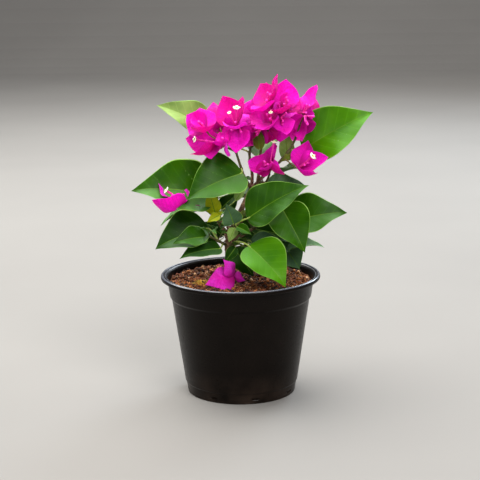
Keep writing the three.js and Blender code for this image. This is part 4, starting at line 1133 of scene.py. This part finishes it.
def floret_skins(sides=20):
    """Tubes turned round straight axes: a round foot, a narrow waist, then a wider tube. An open one
    flares in a five-lobed star and folds back down its throat; a shut one ends in a blunt five-sided tip."""
    heart, way, length, mouth = (np.array(column, float) for column in zip(*floret_rows()))
    size = mouth[:, None, None]
    opened = size > OPEN_MOUTH
    height, tube, flare, shut_height, shut = FLORET_RINGS.T[:, :, None]
    lobe = np.abs(np.cos(2.5 * around(sides)))
    star = tube * (1 - flare) + flare * size * 1.15 * (0.8 + 0.2 * lobe**0.6)
    radius = np.where(opened, star, shut * (1 + 0.07 * np.cos(5 * around(sides))) * (0.5 + 0.4 * size))
    rise = np.where(opened, height, shut_height) * length[:, None, None]
    dip = np.where(opened, 0.25 * flare * size * (1 - lobe), 0)
    side = unit(np.cross(way, [0.3, 0.2, 1.0]))
    ring = hoops(heart[:, None, None] + (rise - dip)[..., None] * way[:, None, None], radius,
                 side[:, None, None], np.cross(way, side)[:, None, None])
    end = heart + way * (np.where(mouth > OPEN_MOUTH, 0.78, 1.01) * length)[:, None]
    points, faces = closed_skins(heart, ring, end)
    return points * MM, faces, np.repeat(np.where(opened[:, 0], OPEN_KINDS, SHUT_KINDS), sides)


florets = grainy_piece(
    "florets", floret_skins(),
    ("floret_tube", (0.6, 0.01, 0.24), (0.8, 0.05, 0.4), 500, 0.55),
    ("floret_star", (0.86, 0.82, 0.7), (0.95, 0.93, 0.84), 300, 0.5),
    ("floret_throat", (0.45, 0.45, 0.12), (0.6, 0.6, 0.25), 500, 0.6),
    ("floret_bud", (0.7, 0.008, 0.36), (0.85, 0.05, 0.52), 500, 0.5))
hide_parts(*CROWNS)


# Fallen blossom
# A spent triplet that dropped on the mix at the front and lies with its back to the viewer. Its bracts are
# coloured lighter than the others as painted light, where they lie in shade.

FALLEN = Triplet(0, (-6, -27, 119), 29, [(-168, -17), (-168, 55, 0.66, 20), (-28, -17, 0.45, 60)],
                 face=(90, -37))
SPENT_SHAPE = BRACT_SHAPE._replace(far=1.4, fold=26, quilt=0.018, wave=0.05)
# Painted light: the fallen bracts are coloured lighter than the others to look lit in the shade they lie in.
spent = bract_piece("fallen_bracts", [FALLEN], 6, SPENT_SHAPE, [
    bract_finish("spent_bract_painted_light", (0.88, 0.001, 0.5), (1.0, 0.06, 0.9), (1.0, 0.04, 0.84)),
    bract_finish("spent_rib", (0.62, 0.001, 0.34), (0.84, 0.01, 0.6), (0.8, 0.03, 0.5)),
], [0, 0, 0])
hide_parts("fallen_blossom")


# Setting
# A plain pale floor that turns up behind, a large soft light high behind the left side, a broad one in
# front with a low fill, and the camera where the photograph was taken from.

CAMERA_PLACE = (-0.16 * MM, -1363.3 * MM, 439.5 * MM)
CAMERA_PITCH, CAMERA_ROLL, CAMERA_LENS, SENSOR = math.radians(12.12), 0.00967, 110.06, 36
PAPER_SHADES = [(0, (0.2, 0.192, 0.182)), (1, (0.212, 0.204, 0.193))]


def studio_floor():
    """Floor and back wall in one sheet: a flat, a quarter circle and an upright, carried sideways."""
    bend = np.linspace(0, np.pi / 2, 24)
    y = np.concatenate([[-6.0], 3 + 1.5 * np.sin(bend), [4.5]])
    z = np.concatenate([[0.0], 1.5 - 1.5 * np.cos(bend), [6.0]])
    points = np.stack([np.tile([-7.0, 7.0], len(y)), np.repeat(y, 2), np.repeat(z, 2)], axis=1)
    faces = 2 * np.arange(len(y) - 1)[:, None] + [0, 1, 3, 2]
    finish, tree = new_finish("studio_paper", Roughness=0.8, Specular_IOR_Level=0.2)
    mesh = bpy.data.meshes.new("studio_floor")
    mesh.from_pydata(points.tolist(), [], faces.tolist())
    mesh.materials.append(wired(finish, Base_Color=ramp(tree, patches(tree, 3, 2), PAPER_SHADES)))
    return new_object("studio_floor", mesh)


def soft_light(name, place, target, size, power, colour):
    """A square area light that looks at a point."""
    lamp = bpy.data.lights.new(name, "AREA")
    lamp.shape, lamp.size, lamp.energy, lamp.color = "SQUARE", size, power, colour
    back = unit(np.array(place) - np.array(target))
    right = unit(np.cross([0, 0, 1], back))
    turn = Matrix(np.stack([right, np.cross(back, right), back], axis=1).tolist()).to_4x4()
    new_object(name, lamp).matrix_world = Matrix.Translation(place) @ turn


def photo_camera():
    """The camera: pitched down, and rolled by a small share of its up direction."""
    s, c = math.sin(CAMERA_PITCH), math.cos(CAMERA_PITCH)
    right, up, back = np.array([1, 0, 0]), np.array([0, s, c]), np.array([0, -c, s])
    turned = np.stack([unit(right - CAMERA_ROLL * up), unit(up + CAMERA_ROLL * right), back], axis=1)
    camera = new_object("camera", bpy.data.cameras.new("camera"))
    camera.data.lens, camera.data.sensor_width = CAMERA_LENS, SENSOR
    camera.matrix_world = Matrix.Translation(CAMERA_PLACE) @ Matrix(turned.tolist()).to_4x4()
    bpy.context.scene.camera = camera


studio_floor()
soft_light("sky_light", (-0.45, 0.55, 1.75), (0, 0, 0.2), 2.4, 125, (1.0, 0.99, 0.96))
soft_light("back_light", (0.9, 1.7, 1.3), (0, 0, 0.2), 0.8, 30, (0.8, 0.9, 1.0))
soft_light("front_light", (0.7, -1.5, 1.7), (0, 0, 0.18), 1.2, 52, (1.0, 0.98, 0.96))
soft_light("fill_light", (-0.9, -2.1, 0.45), (0, 0, 0.18), 1.2, 17, (1.0, 0.97, 0.94))
soft_light("backdrop_light", (0, 1.7, 2.6), (0, 4.5, 1.1), 2, 55, (1.0, 0.99, 0.98))
world = bpy.data.worlds.new("world")
bpy.context.scene.world = world
world.use_nodes = True
air = world.node_tree.nodes["Background"].inputs
air["Color"].default_value = (0.9, 0.94, 1.0, 1)
air["Strength"].default_value = 0.14
bpy.context.scene.view_settings.view_transform = "Standard"
photo_camera()
